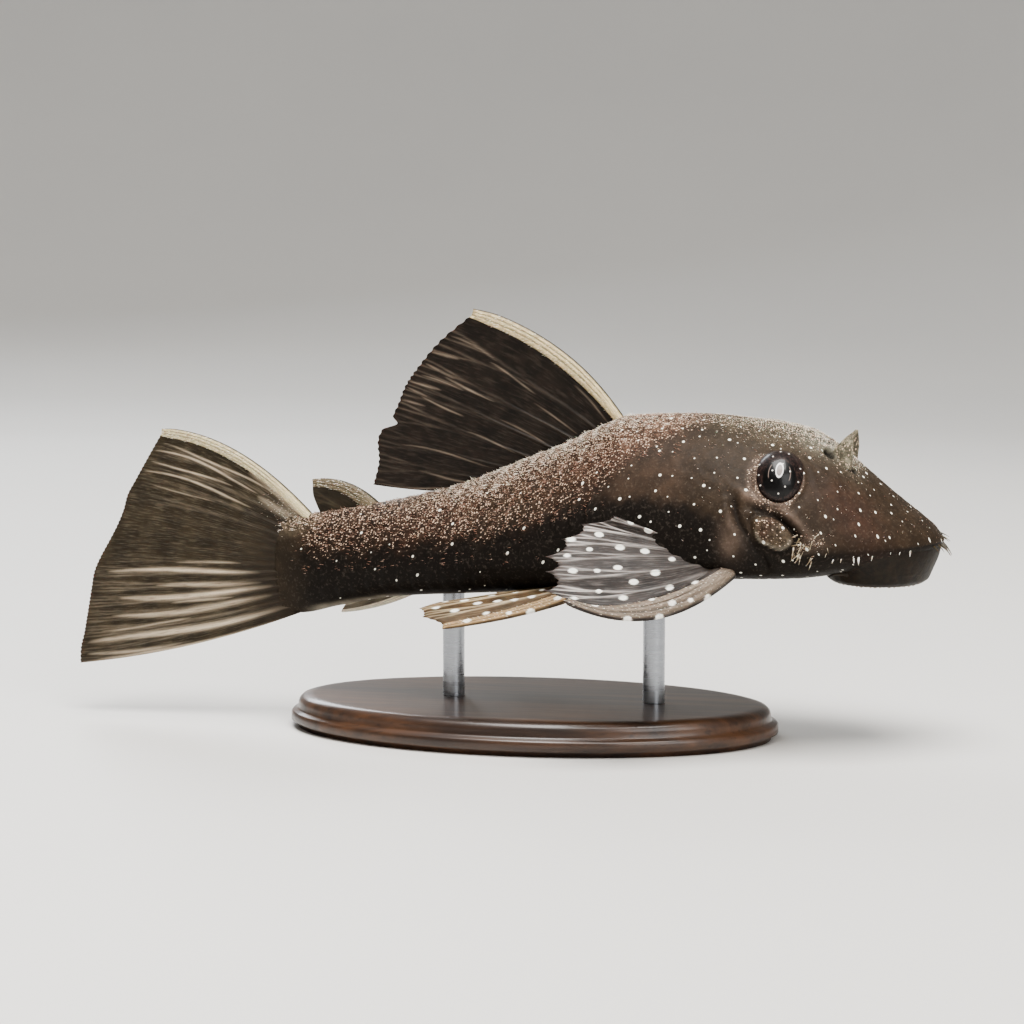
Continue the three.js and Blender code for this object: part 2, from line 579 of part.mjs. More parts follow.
// The stand: a flat oval base, clear of the tail, and two short rods up to the belly
const FLOOR = -TAIL_CLEARANCE;
const BASE = { x: 33, halfLength: 34, halfWidth: 19, thickness: 4.5, bevel: 0.8 };
const ROD_RADIUS = 1.5;
const ROD_REACH = 2; // past the belly's level, before it is trimmed
const RODS = [["stand_rod_rear", 22], ["stand_rod_front", 50]];
const oval = new THREE.Shape();
oval.absellipse(0, 0, BASE.halfLength - BASE.bevel, BASE.halfWidth - BASE.bevel, 0, 2 * Math.PI);
const basePlate = new THREE.ExtrudeGeometry(oval, {
  depth: BASE.thickness - BASE.bevel,
  bevelThickness: BASE.bevel,
  bevelSize: BASE.bevel,
  bevelSegments: 1,
  curveSegments: 24,
});
basePlate.translate(BASE.x, 0, FLOOR);
add("stand_base", solidOf(basePlate).trimByPlane([0, 0, 1], FLOOR), FINISH.base);
for (const [name, x] of RODS) {
  const foot = FLOOR + BASE.thickness + GAP;
  const height = UNDERSIDE(x) + ROD_REACH - foot;
  const rod = new THREE.CylinderGeometry(ROD_RADIUS, ROD_RADIUS, height, 16);
  rod.rotateX(Math.PI / 2);
  rod.translate(x, 0, foot + height / 2);
  add(name, cut(solidOf(rod), clearOfBody), FINISH.rod);
}

// Everything in one group
const model = new THREE.Group();
for (const { name, solid, finish } of nodes) {
  const mesh = new THREE.Mesh(geometryOf(solid), new THREE.MeshStandardMaterial(finish));
  mesh.name = name;
  model.add(mesh);
}

// The group is moved so that the middle of its box stands over the origin, and the base's underside on it
const box = new THREE.Box3().setFromObject(model);
const middle = box.getCenter(vector(0, 0, 0));
model.position.set(-middle.x, -middle.y, -box.min.z);

export default model;
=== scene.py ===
# %% [markdown]
# # A bristlenose pleco, life size, on a display stand
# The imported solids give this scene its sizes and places. Here the fish gets what the solids leave out:
# one skin over the whole body, bony plates, thorns, fins with branched rays, eyes, bristles and the
# colours of the living animal. The scene reads the solids, builds each piece in place around them and
# never moves them.

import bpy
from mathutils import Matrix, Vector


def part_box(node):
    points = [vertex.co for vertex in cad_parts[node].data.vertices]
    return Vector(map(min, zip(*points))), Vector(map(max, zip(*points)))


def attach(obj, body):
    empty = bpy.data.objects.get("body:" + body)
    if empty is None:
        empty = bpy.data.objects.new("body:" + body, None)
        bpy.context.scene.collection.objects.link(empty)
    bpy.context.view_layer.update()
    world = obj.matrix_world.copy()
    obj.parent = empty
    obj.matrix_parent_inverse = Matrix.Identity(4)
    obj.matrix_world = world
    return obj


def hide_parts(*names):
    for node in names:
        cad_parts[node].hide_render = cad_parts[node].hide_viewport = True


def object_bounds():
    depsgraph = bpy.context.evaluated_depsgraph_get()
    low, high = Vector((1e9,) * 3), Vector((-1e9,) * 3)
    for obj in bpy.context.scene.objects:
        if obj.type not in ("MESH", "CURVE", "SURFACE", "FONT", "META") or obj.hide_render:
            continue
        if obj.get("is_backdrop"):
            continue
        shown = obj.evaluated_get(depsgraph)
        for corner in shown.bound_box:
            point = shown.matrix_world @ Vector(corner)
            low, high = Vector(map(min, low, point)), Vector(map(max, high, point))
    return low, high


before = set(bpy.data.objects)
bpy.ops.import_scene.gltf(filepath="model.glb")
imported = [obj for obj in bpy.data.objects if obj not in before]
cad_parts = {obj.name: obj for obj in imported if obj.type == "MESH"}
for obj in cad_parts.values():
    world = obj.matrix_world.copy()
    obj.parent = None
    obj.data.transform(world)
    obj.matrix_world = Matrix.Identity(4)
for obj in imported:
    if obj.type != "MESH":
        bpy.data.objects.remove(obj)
cad_low, cad_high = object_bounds()
print("solids:", sorted(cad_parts))

# %% Tools for numbers, files and meshes
import math

import bmesh
import bpy
import numpy as np
from mathutils import Vector

MM = 0.001
TAIL_CLEARANCE = 6.6  # from the floor to the lowest point of the tail fin
BASE_X = 33.0  # the middle of the stand's base, ahead of the root of the tail fin
base_low, base_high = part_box("stand_base")
SHIFT_X = (base_low.x + base_high.x) / 2 / MM - BASE_X
print(f"the fish's own frame: {SHIFT_X:.2f} mm ahead of the origin, {TAIL_CLEARANCE} mm above the floor")


# %% [markdown]
# The fish is drawn in millimetres in a frame of its own: x forward from the root of the tail fin, z up
# from the lowest point of the tail, y to the fish's left. One helper brings points from there to the
# scene, another turns arrays of points and faces into a mesh, and a third closes it. The values that a
# finish reads, such as a colour for each point, are kept on the mesh too.

# %% From the fish's frame to the scene
def placed(points):
    return (np.asarray(points, float) + [SHIFT_X, 0.0, TAIL_CLEARANCE]) * MM


def mesh_piece(name, points, faces, smooth=True):
    mesh = bpy.data.meshes.new(name)
    faces = np.asarray(faces)
    corners = faces.shape[1]
    mesh.vertices.add(len(points))
    mesh.vertices.foreach_set("co", placed(points).astype(np.float32).ravel())
    mesh.loops.add(faces.size)
    mesh.loops.foreach_set("vertex_index", faces.astype(np.int32).ravel())
    mesh.polygons.add(len(faces))
    mesh.polygons.foreach_set("loop_start", np.arange(0, faces.size, corners, dtype=np.int32))
    mesh.update(calc_edges=True)
    mesh.validate()
    mesh.polygons.foreach_set("use_smooth", np.full(len(mesh.polygons), smooth))
    piece = bpy.data.objects.new(name, mesh)
    bpy.context.scene.collection.objects.link(piece)
    return piece


def faces_out(piece, close=True):
    """Closes a piece's open ends, if asked, and turns all its faces outwards."""
    shell = bmesh.new()
    shell.from_mesh(piece.data)
    if close:
        bmesh.ops.holes_fill(shell, edges=[edge for edge in shell.edges if edge.is_boundary], sides=0)
    bmesh.ops.recalc_face_normals(shell, faces=shell.faces)
    shell.to_mesh(piece.data)
    shell.free()


def triangles_of(piece):
    piece.data.calc_loop_triangles()
    return len(piece.data.loop_triangles)


# %% Values, colours and maps that a finish reads
def set_value(piece, name, values):
    attribute = piece.data.attributes.new(name, "FLOAT", "POINT")
    attribute.data.foreach_set("value", np.asarray(values, np.float32).ravel())


def set_direction(piece, name, vectors):
    attribute = piece.data.attributes.new(name, "FLOAT_VECTOR", "POINT")
    attribute.data.foreach_set("vector", np.asarray(vectors, np.float32).ravel())


def set_colour(piece, name, colours):
    attribute = piece.data.color_attributes.new(name, "FLOAT_COLOR", "POINT")
    opaque = np.concatenate([colours, np.ones((len(colours), 1))], axis=1)
    attribute.data.foreach_set("color", opaque.astype(np.float32).ravel())


def set_map(piece, name, across, along):
    layer = piece.data.uv_layers.new(name=name)
    index = np.empty(len(piece.data.loops), np.int32)
    piece.data.loops.foreach_get("vertex_index", index)
    layer.data.foreach_set("uv", np.stack([across[index], along[index]], 1).astype(np.float32).ravel())


# %% [markdown]
# The camera stands where the photographer did: a little ahead of the fish's right side, just above its
# level. It comes first, because every later choice of detail depends on what it sees.

# %% Camera
CAMERA_AIM = Vector((1.55, 0.0, 30.19)) * MM
CAMERA_DISTANCE = 331.2 * MM
CAMERA_AZIMUTH = math.radians(12)
CAMERA_ELEVATION = math.radians(6)
back = Vector(
    (
        math.sin(CAMERA_AZIMUTH) * math.cos(CAMERA_ELEVATION),
        -math.cos(CAMERA_AZIMUTH) * math.cos(CAMERA_ELEVATION),
        math.sin(CAMERA_ELEVATION),
    )
)
camera = bpy.data.objects.new("camera", bpy.data.cameras.new("camera"))
bpy.context.scene.collection.objects.link(camera)
camera.data.lens = 85
camera.data.sensor_width = 36
camera.data.clip_start = 0.01
camera.location = CAMERA_AIM + back * CAMERA_DISTANCE
camera.rotation_mode = "QUATERNION"
camera.rotation_quaternion = (-back).to_track_quat("-Z", "Y")
bpy.context.scene.camera = camera
bpy.context.scene.view_settings.look = "AgX - Medium High Contrast"
print(f"camera {CAMERA_DISTANCE:.3f} m away, {camera.location.z:.3f} m above the floor")

# %% [markdown]
# Soft studio light: a pale floor that curves up into a round wall, so that no horizon shows from any
# side, one large lamp overhead, a weaker one from the camera's side and a cool one from behind.

# %% Floor and lights
FLOOR_RADIUS = 0.6
WALL_CURVE = 0.8
WALL_HEIGHT = 1.8
wall_turns = 96
profile = [(0.0, 0.0), (0.3, 0.0), (FLOOR_RADIUS, 0.0)]
for step in range(1, 13):
    turn = step / 12 * math.pi / 2
    profile.append((FLOOR_RADIUS + WALL_CURVE * math.sin(turn), WALL_CURVE * (1 - math.cos(turn))))
profile.append((FLOOR_RADIUS + WALL_CURVE, WALL_HEIGHT))
stage_mesh = bpy.data.meshes.new("studio_floor")
stage_points = [(0.0, 0.0, 0.0)]
for radius, height in profile[1:]:
    for k in range(wall_turns):
        turn = 2 * math.pi * k / wall_turns
        stage_points.append((radius * math.cos(turn), radius * math.sin(turn), height))
stage_faces = [(0, 1 + k, 1 + (k + 1) % wall_turns) for k in range(wall_turns)]
for ring in range(len(profile) - 2):
    for k in range(wall_turns):
        inner = 1 + ring * wall_turns
        outer = inner + wall_turns
        after = (k + 1) % wall_turns
        stage_faces.append((inner + k, outer + k, outer + after, inner + after))
stage_mesh.from_pydata(stage_points, [], stage_faces)
stage_mesh.polygons.foreach_set("use_smooth", [True] * len(stage_mesh.polygons))
floor = bpy.data.objects.new("studio_floor", stage_mesh)
bpy.context.scene.collection.objects.link(floor)
floor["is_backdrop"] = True


def lamp(name, place, size, power, colour=(1, 1, 1)):
    light = bpy.data.lights.new(name, "AREA")
    light.size = size
    light.energy = power
    light.color = colour
    holder = bpy.data.objects.new(name, light)
    bpy.context.scene.collection.objects.link(holder)
    holder.location = place
    holder.rotation_mode = "QUATERNION"
    holder.rotation_quaternion = (Vector((0, 0, 0.03)) - Vector(place)).to_track_quat("-Z", "Y")


lamp("overhead", (0.05, -0.14, 0.62), 0.42, 7.5, (1.0, 0.98, 0.95))
lamp("camera_side", (0.42, -0.5, 0.34), 0.4, 2.0)
lamp("behind", (-0.35, 0.5, 0.4), 0.3, 2.2, (0.92, 0.96, 1.0))
world = bpy.data.worlds.new("studio")
bpy.context.scene.world = world
world.use_nodes = True
world.node_tree.nodes["Background"].inputs["Color"].default_value = (0.8, 0.82, 0.85, 1)
world.node_tree.nodes["Background"].inputs["Strength"].default_value = 0.42
print("floor, wall and three lamps")


# %% [markdown]
# Every finish is a small tree of shader nodes. These helpers add a node, join two sockets and make the
# nodes that come back again and again, so that each finish below reads like a recipe.

# %% Helpers for finishes
class Recipe:
    def __init__(self, name):
        self.material = bpy.data.materials.new(name)
        self.material.use_nodes = True
        self.tree = self.material.node_tree
        self.shader = self.tree.nodes["Principled BSDF"]

    def add(self, kind, **settings):
        node = self.tree.nodes.new(kind)
        for name, value in settings.items():
            setattr(node, name, value)
        return node

    def feed(self, socket, value):
        if isinstance(value, bpy.types.NodeSocket):
            self.tree.links.new(value, socket)
        else:
            socket.default_value = value

    def value(self, name):
        return self.add("ShaderNodeAttribute", attribute_name=name).outputs["Fac"]

    def colour(self, name):
        return self.add("ShaderNodeAttribute", attribute_name=name).outputs["Color"]

    def place(self, map_name=None, stretch=(1, 1, 1)):
        if map_name is None:
            source = self.add("ShaderNodeTexCoord").outputs["Object"]
        else:
            source = self.add("ShaderNodeUVMap", uv_map=map_name).outputs["UV"]
        mapping = self.add("ShaderNodeMapping")
        self.feed(mapping.inputs["Vector"], source)
        mapping.inputs["Scale"].default_value = stretch
        return mapping.outputs["Vector"]

    def maths(self, kind, first, second=0.0):
        node = self.add("ShaderNodeMath", operation=kind)
        self.feed(node.inputs[0], first)
        self.feed(node.inputs[1], second)
        return node.outputs[0]

    def plus(self, first, second):
        return self.maths("ADD", first, second)

    def less(self, first, second):
        return self.maths("SUBTRACT", first, second)

    def times(self, first, second):
        return self.maths("MULTIPLY", first, second)

    def ramp(self, value, low, high, start=0.0, end=1.0):
        node = self.add("ShaderNodeMapRange", interpolation_type="SMOOTHSTEP")
        for socket, given in zip(node.inputs[:5], (value, low, high, start, end)):
            self.feed(socket, given)
        return node.outputs[0]

    def mix(self, share, first, second, kind="MIX"):
        node = self.add("ShaderNodeMix", data_type="RGBA", blend_type=kind)
        self.feed(node.inputs["Factor"], share)
        self.feed(node.inputs[6], first)
        self.feed(node.inputs[7], second)
        return node.outputs[2]

    def noise(self, where, scale, detail=4.0, rough=0.55):
        node = self.add("ShaderNodeTexNoise")
        self.feed(node.inputs["Vector"], where)
        node.inputs["Scale"].default_value = scale
        node.inputs["Detail"].default_value = detail
        node.inputs["Roughness"].default_value = rough
        return node.outputs["Fac"]

    def cells(self, where, scale, random=1.0, flat=False):
        node = self.add("ShaderNodeTexVoronoi", voronoi_dimensions="2D" if flat else "3D")
        self.feed(node.inputs["Vector"], where)
        node.inputs["Scale"].default_value = scale
        node.inputs["Randomness"].default_value = random
        return node.outputs["Distance"], node.outputs["Color"]

    def bump(self, height, strength, distance, under=None):
        node = self.add("ShaderNodeBump")
        self.feed(node.inputs["Height"], height)
        node.inputs["Strength"].default_value = strength
        node.inputs["Distance"].default_value = distance
        if under is not None:
            self.feed(node.inputs["Normal"], under)
        return node.outputs["Normal"]

    def finish(self, **sockets):
        for name, value in sockets.items():
            self.feed(self.shader.inputs[name.replace("_", " ")], value)
        return self.material


# %% Colours
LIVING_SHARE = 0.35  # the studio is about three times as bright as the light that the fish was seen in


def linear(channel):
    share = channel / 255
    return share / 12.92 if channel <= 10 else ((share + 0.055) / 1.055) ** 2.4


def rgb(red, green, blue):
    return (linear(red), linear(green), linear(blue), 1.0)


def living(red, green, blue):
    return tuple(LIVING_SHARE * channel for channel in rgb(red, green, blue)[:3]) + (1.0,)


def painted(red, green, blue):
    return np.array(living(red, green, blue)[:3])


print(f"white, as the fish's skin takes it: {painted(255, 255, 255)[0]:.2f}")

# %% Finish of the floor
floor_finish = Recipe("pale_floor")
floor_grain = floor_finish.noise(floor_finish.place(), 6.0)
floor.data.materials.append(
    floor_finish.finish(
        Base_Color=floor_finish.mix(floor_grain, rgb(222, 220, 216), rgb(214, 212, 209)),
        Roughness=0.6,
    )
)
print("floor finish made")


# %% [markdown]
# A body like this follows a few smooth curves: its back and its underside from the side, its half width
# from above, and how square each section is. They are the same curves as the solids', so the skin lies
# where the solids do. The curves run through named points and never overshoot between them.

# %% The curves of the body
def smooth(points):
    xs, ys = np.array(points, float).T
    slope = np.diff(ys) / np.diff(xs)
    before, after = slope[:-1], slope[1:]
    level = before * after <= 0
    total = np.where(level, 1.0, before + after)
    inner = np.where(level, 0.0, 2 * before * after / total)
    tangent = np.concatenate([slope[:1], inner, slope[-1:]])

    def value(x):
        x = np.clip(x, xs[0], xs[-1])
        i = np.clip(np.searchsorted(xs, x, side="right") - 1, 0, len(xs) - 2)
        width = xs[i + 1] - xs[i]
        t = (x - xs[i]) / width
        start = ys[i] * (1 + 2 * t) * (1 - t) ** 2 + width * tangent[i] * t * (1 - t) ** 2
        return start + ys[i + 1] * t * t * (3 - 2 * t) - width * tangent[i + 1] * t * t * (1 - t)

    return value


SNOUT_X = 88.6
STEM_END_X = -2.4
HEAD_START_X = 57.0
back_line = smooth(
    [
        (-3, 22.2), (0, 22.5), (5.8, 23.4), (11.4, 24.4), (20.5, 26.5), (27.2, 28.8), (31.6, 30.7),
        (36.9, 32.8), (42.4, 35.4), (46.8, 37.2), (56, 37.5), (64.2, 36.9), (67.7, 36.4), (71.2, 35.6),
        (74.2, 34.0), (77.2, 31.5), (82.7, 26.8), (87, 23.4), (SNOUT_X, 22.0),
    ]
)
underside = smooth(
    [
        (-3, 8.8), (0, 8.8), (5.7, 10.0), (15, 11.7), (28.6, 12.8), (39, 13.7), (49, 15.0),
        (60, 15.9), (70, 16.2), (76, 17.0), (82, 18.3), (87, 19.8), (SNOUT_X, 20.6),
    ]
)
SNOUT_ROOT_X = 64.0
SNOUT_HALF_WIDTH = 14.4
trunk_half_width = smooth(
    [
        (-3, 1.5), (0, 2.4), (5, 3.5), (12, 5.0), (20, 6.9), (30, 9.1), (40, 11.2), (48, 12.8),
        (55, 13.9), (61, SNOUT_HALF_WIDTH), (SNOUT_ROOT_X, SNOUT_HALF_WIDTH),
    ]
)
widest_level = smooth(
    [(-3, 15.5), (8, 16.5), (20, 18.2), (35, 19.4), (50, 20.6), (64, 21.4), (80, 21.2), (SNOUT_X, 21.2)]
)
upper_power = smooth(
    [(-3, 2.2), (10, 2.0), (25, 1.75), (48, 1.7), (60, 1.75), (68, 1.62), (76, 1.7), (SNOUT_X, 2.1)]
)
lower_power = smooth([(-3, 2.2), (10, 2.3), (25, 2.9), (60, 3.2), (80, 2.6), (SNOUT_X, 2.1)])
TIP_ROUNDING = 1.6


# %% A point of the skin and the way out of it
def half_width(x):
    share = np.clip((x - SNOUT_ROOT_X) / (SNOUT_X - SNOUT_ROOT_X), 0, 1)
    return np.where(x < SNOUT_ROOT_X, trunk_half_width(x), SNOUT_HALF_WIDTH * np.sqrt(1 - share**2))


def skin_point(x, angle):
    x, angle = np.broadcast_arrays(np.asarray(x, float), np.asarray(angle, float))
    share = np.maximum(0, (x - SNOUT_X + TIP_ROUNDING) / TIP_ROUNDING)
    depth = np.sqrt(np.maximum(0, 1 - share**2))
    across, along = np.sin(angle), np.cos(angle)
    level = widest_level(x)
    power = 2 / np.where(along > 0, upper_power(x), lower_power(x))
    reach = np.where(along > 0, back_line(x) - level, level - underside(x))
    y = np.sign(across) * half_width(x) * np.abs(across) ** power
    z = level + np.sign(along) * reach * depth * np.abs(along) ** power
    return np.stack([x, y, z], -1)


def unit(vectors):
    return vectors / np.maximum(np.linalg.norm(vectors, axis=-1, keepdims=True), 1e-9)


def skin_normal(x, angle):
    around = skin_point(x, np.asarray(angle) + 0.04) - skin_point(x, np.asarray(angle) - 0.04)
    ahead = skin_point(np.minimum(np.asarray(x) + 0.4, SNOUT_X - 0.02), angle)
    return unit(np.cross(ahead - skin_point(np.asarray(x) - 0.4, angle), around))


print("girth at the shoulder:", [round(float(v), 1) for v in skin_point(55.0, math.pi / 2)])

# %% [markdown]
# The skin is one grid of points, rings along the body by lines round it. A plain even grid would waste
# its points, so the rings and lines crowd where the form is finest, round the eyes and on the snout's
# rim. The helper below places stations by the wanted spacing.

# %% The grid of the skin
RING_SPACING = [(STEM_END_X, 0.30), (56, 0.31), (62, 0.15), (73, 0.15), (75, 0.20), (85, 0.21)]
LINE_SPACING = [(0, 0.30), (4, 0.28), (7, 0.17), (20, 0.18), (24, 0.34), (29, 0.62), (40, 0.75)]
AROUND = 240  # lines round the body, half of them on either side
TIP_RINGS = 46


def stations(start, end, spacing, count=None):
    fine = np.linspace(start, end, 4000)
    places, steps = np.array(spacing, float).T
    pace = 1 / np.interp(fine, places, steps)
    travelled = np.concatenate([[0], np.cumsum((pace[1:] + pace[:-1]) / 2 * np.diff(fine))])
    count = count or int(round(travelled[-1])) + 1
    return np.interp(np.linspace(0, travelled[-1], count), travelled, fine)


tip_start = math.asin((85.0 - SNOUT_ROOT_X) / (SNOUT_X - SNOUT_ROOT_X))
tip_turns = np.linspace(tip_start, math.pi / 2, TIP_RINGS + 1)[1:]
tip_stations = SNOUT_ROOT_X + (SNOUT_X - SNOUT_ROOT_X) * np.sin(tip_turns)
ring_x = np.concatenate([stations(STEM_END_X, 85.0, RING_SPACING), tip_stations[:-1], [SNOUT_X - 0.01]])
sample_turns = np.linspace(0, math.pi, 3000)
sample_ring = skin_point(68.0, sample_turns)
sample_arc = np.concatenate([[0], np.cumsum(np.linalg.norm(np.diff(sample_ring, axis=0), axis=1))])
half_arc = stations(0, sample_arc[-1], LINE_SPACING, AROUND // 2 + 1)
half_turns = np.interp(half_arc, sample_arc, sample_turns)
line_turns = np.concatenate([half_turns[:-1], 2 * math.pi - half_turns[:0:-1]])
line_turns = np.where(line_turns > math.pi, line_turns - 2 * math.pi, line_turns)
grid_x, grid_turn = np.meshgrid(ring_x, line_turns, indexing="ij")
bare = skin_point(grid_x, grid_turn)
outward = skin_normal(grid_x, grid_turn)
side = np.where(grid_turn >= 0, 1.0, -1.0)
turn_size = np.abs(grid_turn)
print(f"{len(ring_x)} rings of {AROUND} points, {2 * len(ring_x) * AROUND} triangles")

# %% Distances on the skin: along the back, and down from the back
along_back = np.concatenate([[0], np.cumsum(np.hypot(np.diff(ring_x), np.diff(back_line(ring_x))))])
half_count = AROUND // 2 + 1
left_half = skin_point(ring_x[:, None], half_turns[None, :])
left_arc = np.cumsum(np.linalg.norm(np.diff(left_half, axis=1), axis=2), axis=1)
left_arc = np.concatenate([np.zeros((len(ring_x), 1)), left_arc], axis=1)
down = np.concatenate([left_arc[:, :-1], left_arc[:, :0:-1]], axis=1)
print(f"back {along_back[-1]:.1f} mm long, half girth up to {down.max():.1f} mm")


# %% [markdown]
# Bony plates cover the trunk in rows, each plate's rear edge standing over the next, like roof tiles.
# They are made by lifting the grid: a steep step at each rear edge, drawn out backwards in the middle of
# its row, then a slow fall to the next. The head has no such rows, only skin close over bone.

# %% Relief of the plates
def ease(value, low, high):
    t = np.clip((value - low) / (high - low), 0, 1)
    return t * t * (3 - 2 * t)


PLATE_PITCH = 2.27
PLATE_LIFT = 0.28
PLATE_POINT = 0.8
ROW_TURN = math.radians(27)
ROWS = 5
row_place = turn_size / ROW_TURN
in_rows = 1 - ease(row_place, ROWS - 0.15, ROWS + 0.35)
row_bulge = np.abs(np.sin(np.pi * row_place)) ** 0.6
plate_place = (grid_x + PLATE_POINT * row_bulge - STEM_END_X) / PLATE_PITCH
plate_share = plate_place - np.floor(plate_place)
plate_rise = ease(plate_share, 0.0, 0.17) * (1 - plate_share) ** 0.8
on_trunk = 1 - ease(grid_x, 41.0, 47.5)
relief = PLATE_LIFT * plate_rise * (0.2 + 0.8 * row_bulge) * in_rows * on_trunk
relief -= 0.10 * (1 - ease(row_bulge, 0.0, 0.55)) * in_rows * on_trunk
print(f"plates rise up to {relief.max():.2f} mm")

# %% [markdown]
# Behind the last plates the stem thins out to a rounded end that lies flat on the tail fin. The values
# here narrow the grid and draw its end back.

# %% How the stem thins out on the tail fin
STEM_TAPER_X = 6.0
STEM_END_SHARE = 0.13
STEM_END_ROUNDING = 1.3
stem_rise = ease(grid_x, STEM_END_X, STEM_TAPER_X) ** 0.5
stem_narrow = STEM_END_SHARE + (1 - STEM_END_SHARE) * stem_rise
stem_height = (bare[..., 2] - underside(grid_x)) / (back_line(grid_x) - underside(grid_x))
stem_back = STEM_END_ROUNDING * (1 - stem_rise) * np.sin(np.pi * np.clip(stem_height, 0, 1)) ** 0.7
print(f"the stem ends {2 * float(half_width(STEM_END_X)) * STEM_END_SHARE:.1f} mm thick")


# %% [markdown]
# On the side of the head the skin shows the bones under it: the orbit's raised rim, a slanting ridge
# below it, the small bare gill cover in its trough, the slit behind the head and the edge of the
# shoulder girdle. Each is a soft ridge or groove along a short named line on the skin.

# %% Ridges and grooves of the head
def line_distance(points, x, drop):
    """How far each grid point is from a line of (x, distance down from the back), and how far along it."""
    best = np.full(x.shape, 1e9)
    share = np.zeros(x.shape)
    points = np.array(points, float)
    lengths = np.linalg.norm(np.diff(points, axis=0), axis=1)
    gone = 0.0
    for start, end, length in zip(points[:-1], points[1:], lengths):
        way = (end - start) / length
        t = np.clip((x - start[0]) * way[0] + (drop - start[1]) * way[1], 0, length)
        away = np.hypot(x - start[0] - t * way[0], drop - start[1] - t * way[1])
        nearer = away < best
        best = np.where(nearer, away, best)
        share = np.where(nearer, (gone + t) / lengths.sum(), share)
        gone += length
    return best, share


def soft_line(points, width):
    away, share = line_distance(points, grid_x, down)
    ends = ease(share, 0.0, 0.12) * (1 - ease(share, 0.88, 1.0))
    return np.exp(-((away / width) ** 2)) * (0.35 + 0.65 * ends)


CHEEK_RIDGE = [
    (62.8, 15.4), (64.0, 16.3), (66.0, 16.7), (68.0, 17.1), (69.8, 18.0), (71.2, 19.0), (72.0, 20.2),
]
GILL_TROUGH = [(64.2, 17.6), (65.6, 17.6), (67.4, 17.7), (69.2, 18.7), (70.5, 19.8), (70.8, 21.0)]
GILL_SLIT = [(62.2, 16.4), (62.4, 18.2), (63.0, 19.9), (64.1, 21.3), (65.0, 22.7), (66.1, 23.9), (66.8, 26.0)]
SHOULDER_EDGE = [(61.0, 17.4), (61.4, 19.5), (62.3, 21.3), (63.2, 22.8), (64.2, 24.4)]
BROW_RIDGE = [(64.0, 2.0), (68.2, 2.0), (70.9, 2.3), (73.4, 3.1), (75.0, 3.8), (77.0, 4.6)]
cheek_ridge = soft_line(CHEEK_RIDGE, 0.75)
gill_trough = soft_line(GILL_TROUGH, 0.62)
gill_slit = soft_line(GILL_SLIT, 0.62)
shoulder_edge = soft_line(SHOULDER_EDGE, 0.8)
brow_ridge = soft_line(BROW_RIDGE, 1.0)
relief += 0.34 * cheek_ridge
relief -= 0.6 * gill_trough
relief -= 0.5 * gill_slit
relief += 0.3 * shoulder_edge
relief += 0.32 * brow_ridge
uneven = np.sin(grid_x * 2.7 + 1.3 * np.sin(down * 1.1)) * np.sin(down * 2.3 + 1.1 * np.sin(grid_x * 1.7))
relief += 0.03 * uneven * ease(grid_x, 48, 58)
print("ridge, trough, slit, shoulder edge and brow laid on the head")

# %% The gill cover
GILL_COVER = (67.3, 20.35)
GILL_COVER_HALF = (2.65, 1.85)
GILL_COVER_TILT = 0.45
ahead = grid_x - GILL_COVER[0]
below = down - GILL_COVER[1]
plate_along = ahead * math.cos(GILL_COVER_TILT) + below * math.sin(GILL_COVER_TILT)
plate_across = -ahead * math.sin(GILL_COVER_TILT) + below * math.cos(GILL_COVER_TILT)
cover_reach = np.hypot(plate_along / GILL_COVER_HALF[0], plate_across / GILL_COVER_HALF[1])
cover_turn = np.arctan2(plate_across, plate_along)
cover_reach = cover_reach * (1 + 0.06 * np.sin(2 * cover_turn + 0.6) + 0.04 * np.sin(5 * cover_turn + 1))
cover_rise = 1 - ease(cover_reach, 0.86, 1.06)
cover_ring = np.exp(-(((cover_reach - 1.16) / 0.12) ** 2))
cover_grain = 0.09 * np.sin(plate_along * 5.1 + np.sin(plate_across * 3.0)) * np.sin(plate_across * 6.3 + 1.0)
relief += cover_rise * (0.36 + 0.2 * (1 - np.clip(cover_reach, 0, 1) ** 2) + cover_grain)
relief -= 0.34 * cover_ring
gill_cover = 1 - ease(cover_reach, 0.9, 1.04)
gill_cover_edge = np.exp(-(((cover_reach - 0.93) / 0.1) ** 2)) * ease(below, -0.3, 1.0)
print(f"gill covers {2 * GILL_COVER_HALF[0]:.1f} by {2 * GILL_COVER_HALF[1]:.1f} mm")


# %% [markdown]
# Each eye is an egg-shaped ball sunk in the head. The skin rises to a bony rim round it and dives under
# the ball inside the rim, so that no gap shows. The dive follows the distance from the eye's axis, which
# is why the grid is so fine here.

# %% The seat of each eye
EYE_X, EYE_TURN = 67.8, 0.9
EYE_HALF = np.array([4.0, 4.6, 4.1])
EYE_SUNK = 2.6
EYE_TILT = 0.5
EYE_OPENING = (2.8, 3.3)
ORBIT_HEIGHT = 0.42


def turn_to(direction):
    """The turn that brings the up direction to a given one, by the shortest way."""
    return np.array(Vector((0, 0, 1)).rotation_difference(Vector(direction)).to_matrix())


def eye_seat(sign):
    normal = skin_normal(EYE_X, sign * EYE_TURN)
    out = unit(normal + (np.array([0.1, sign, 0.1]) - normal) * EYE_TILT)
    seat = skin_point(EYE_X, sign * EYE_TURN)
    centre = seat - out * EYE_SUNK
    return {"centre": centre, "axes": turn_to(out), "level": float(np.dot(seat - centre, out))}


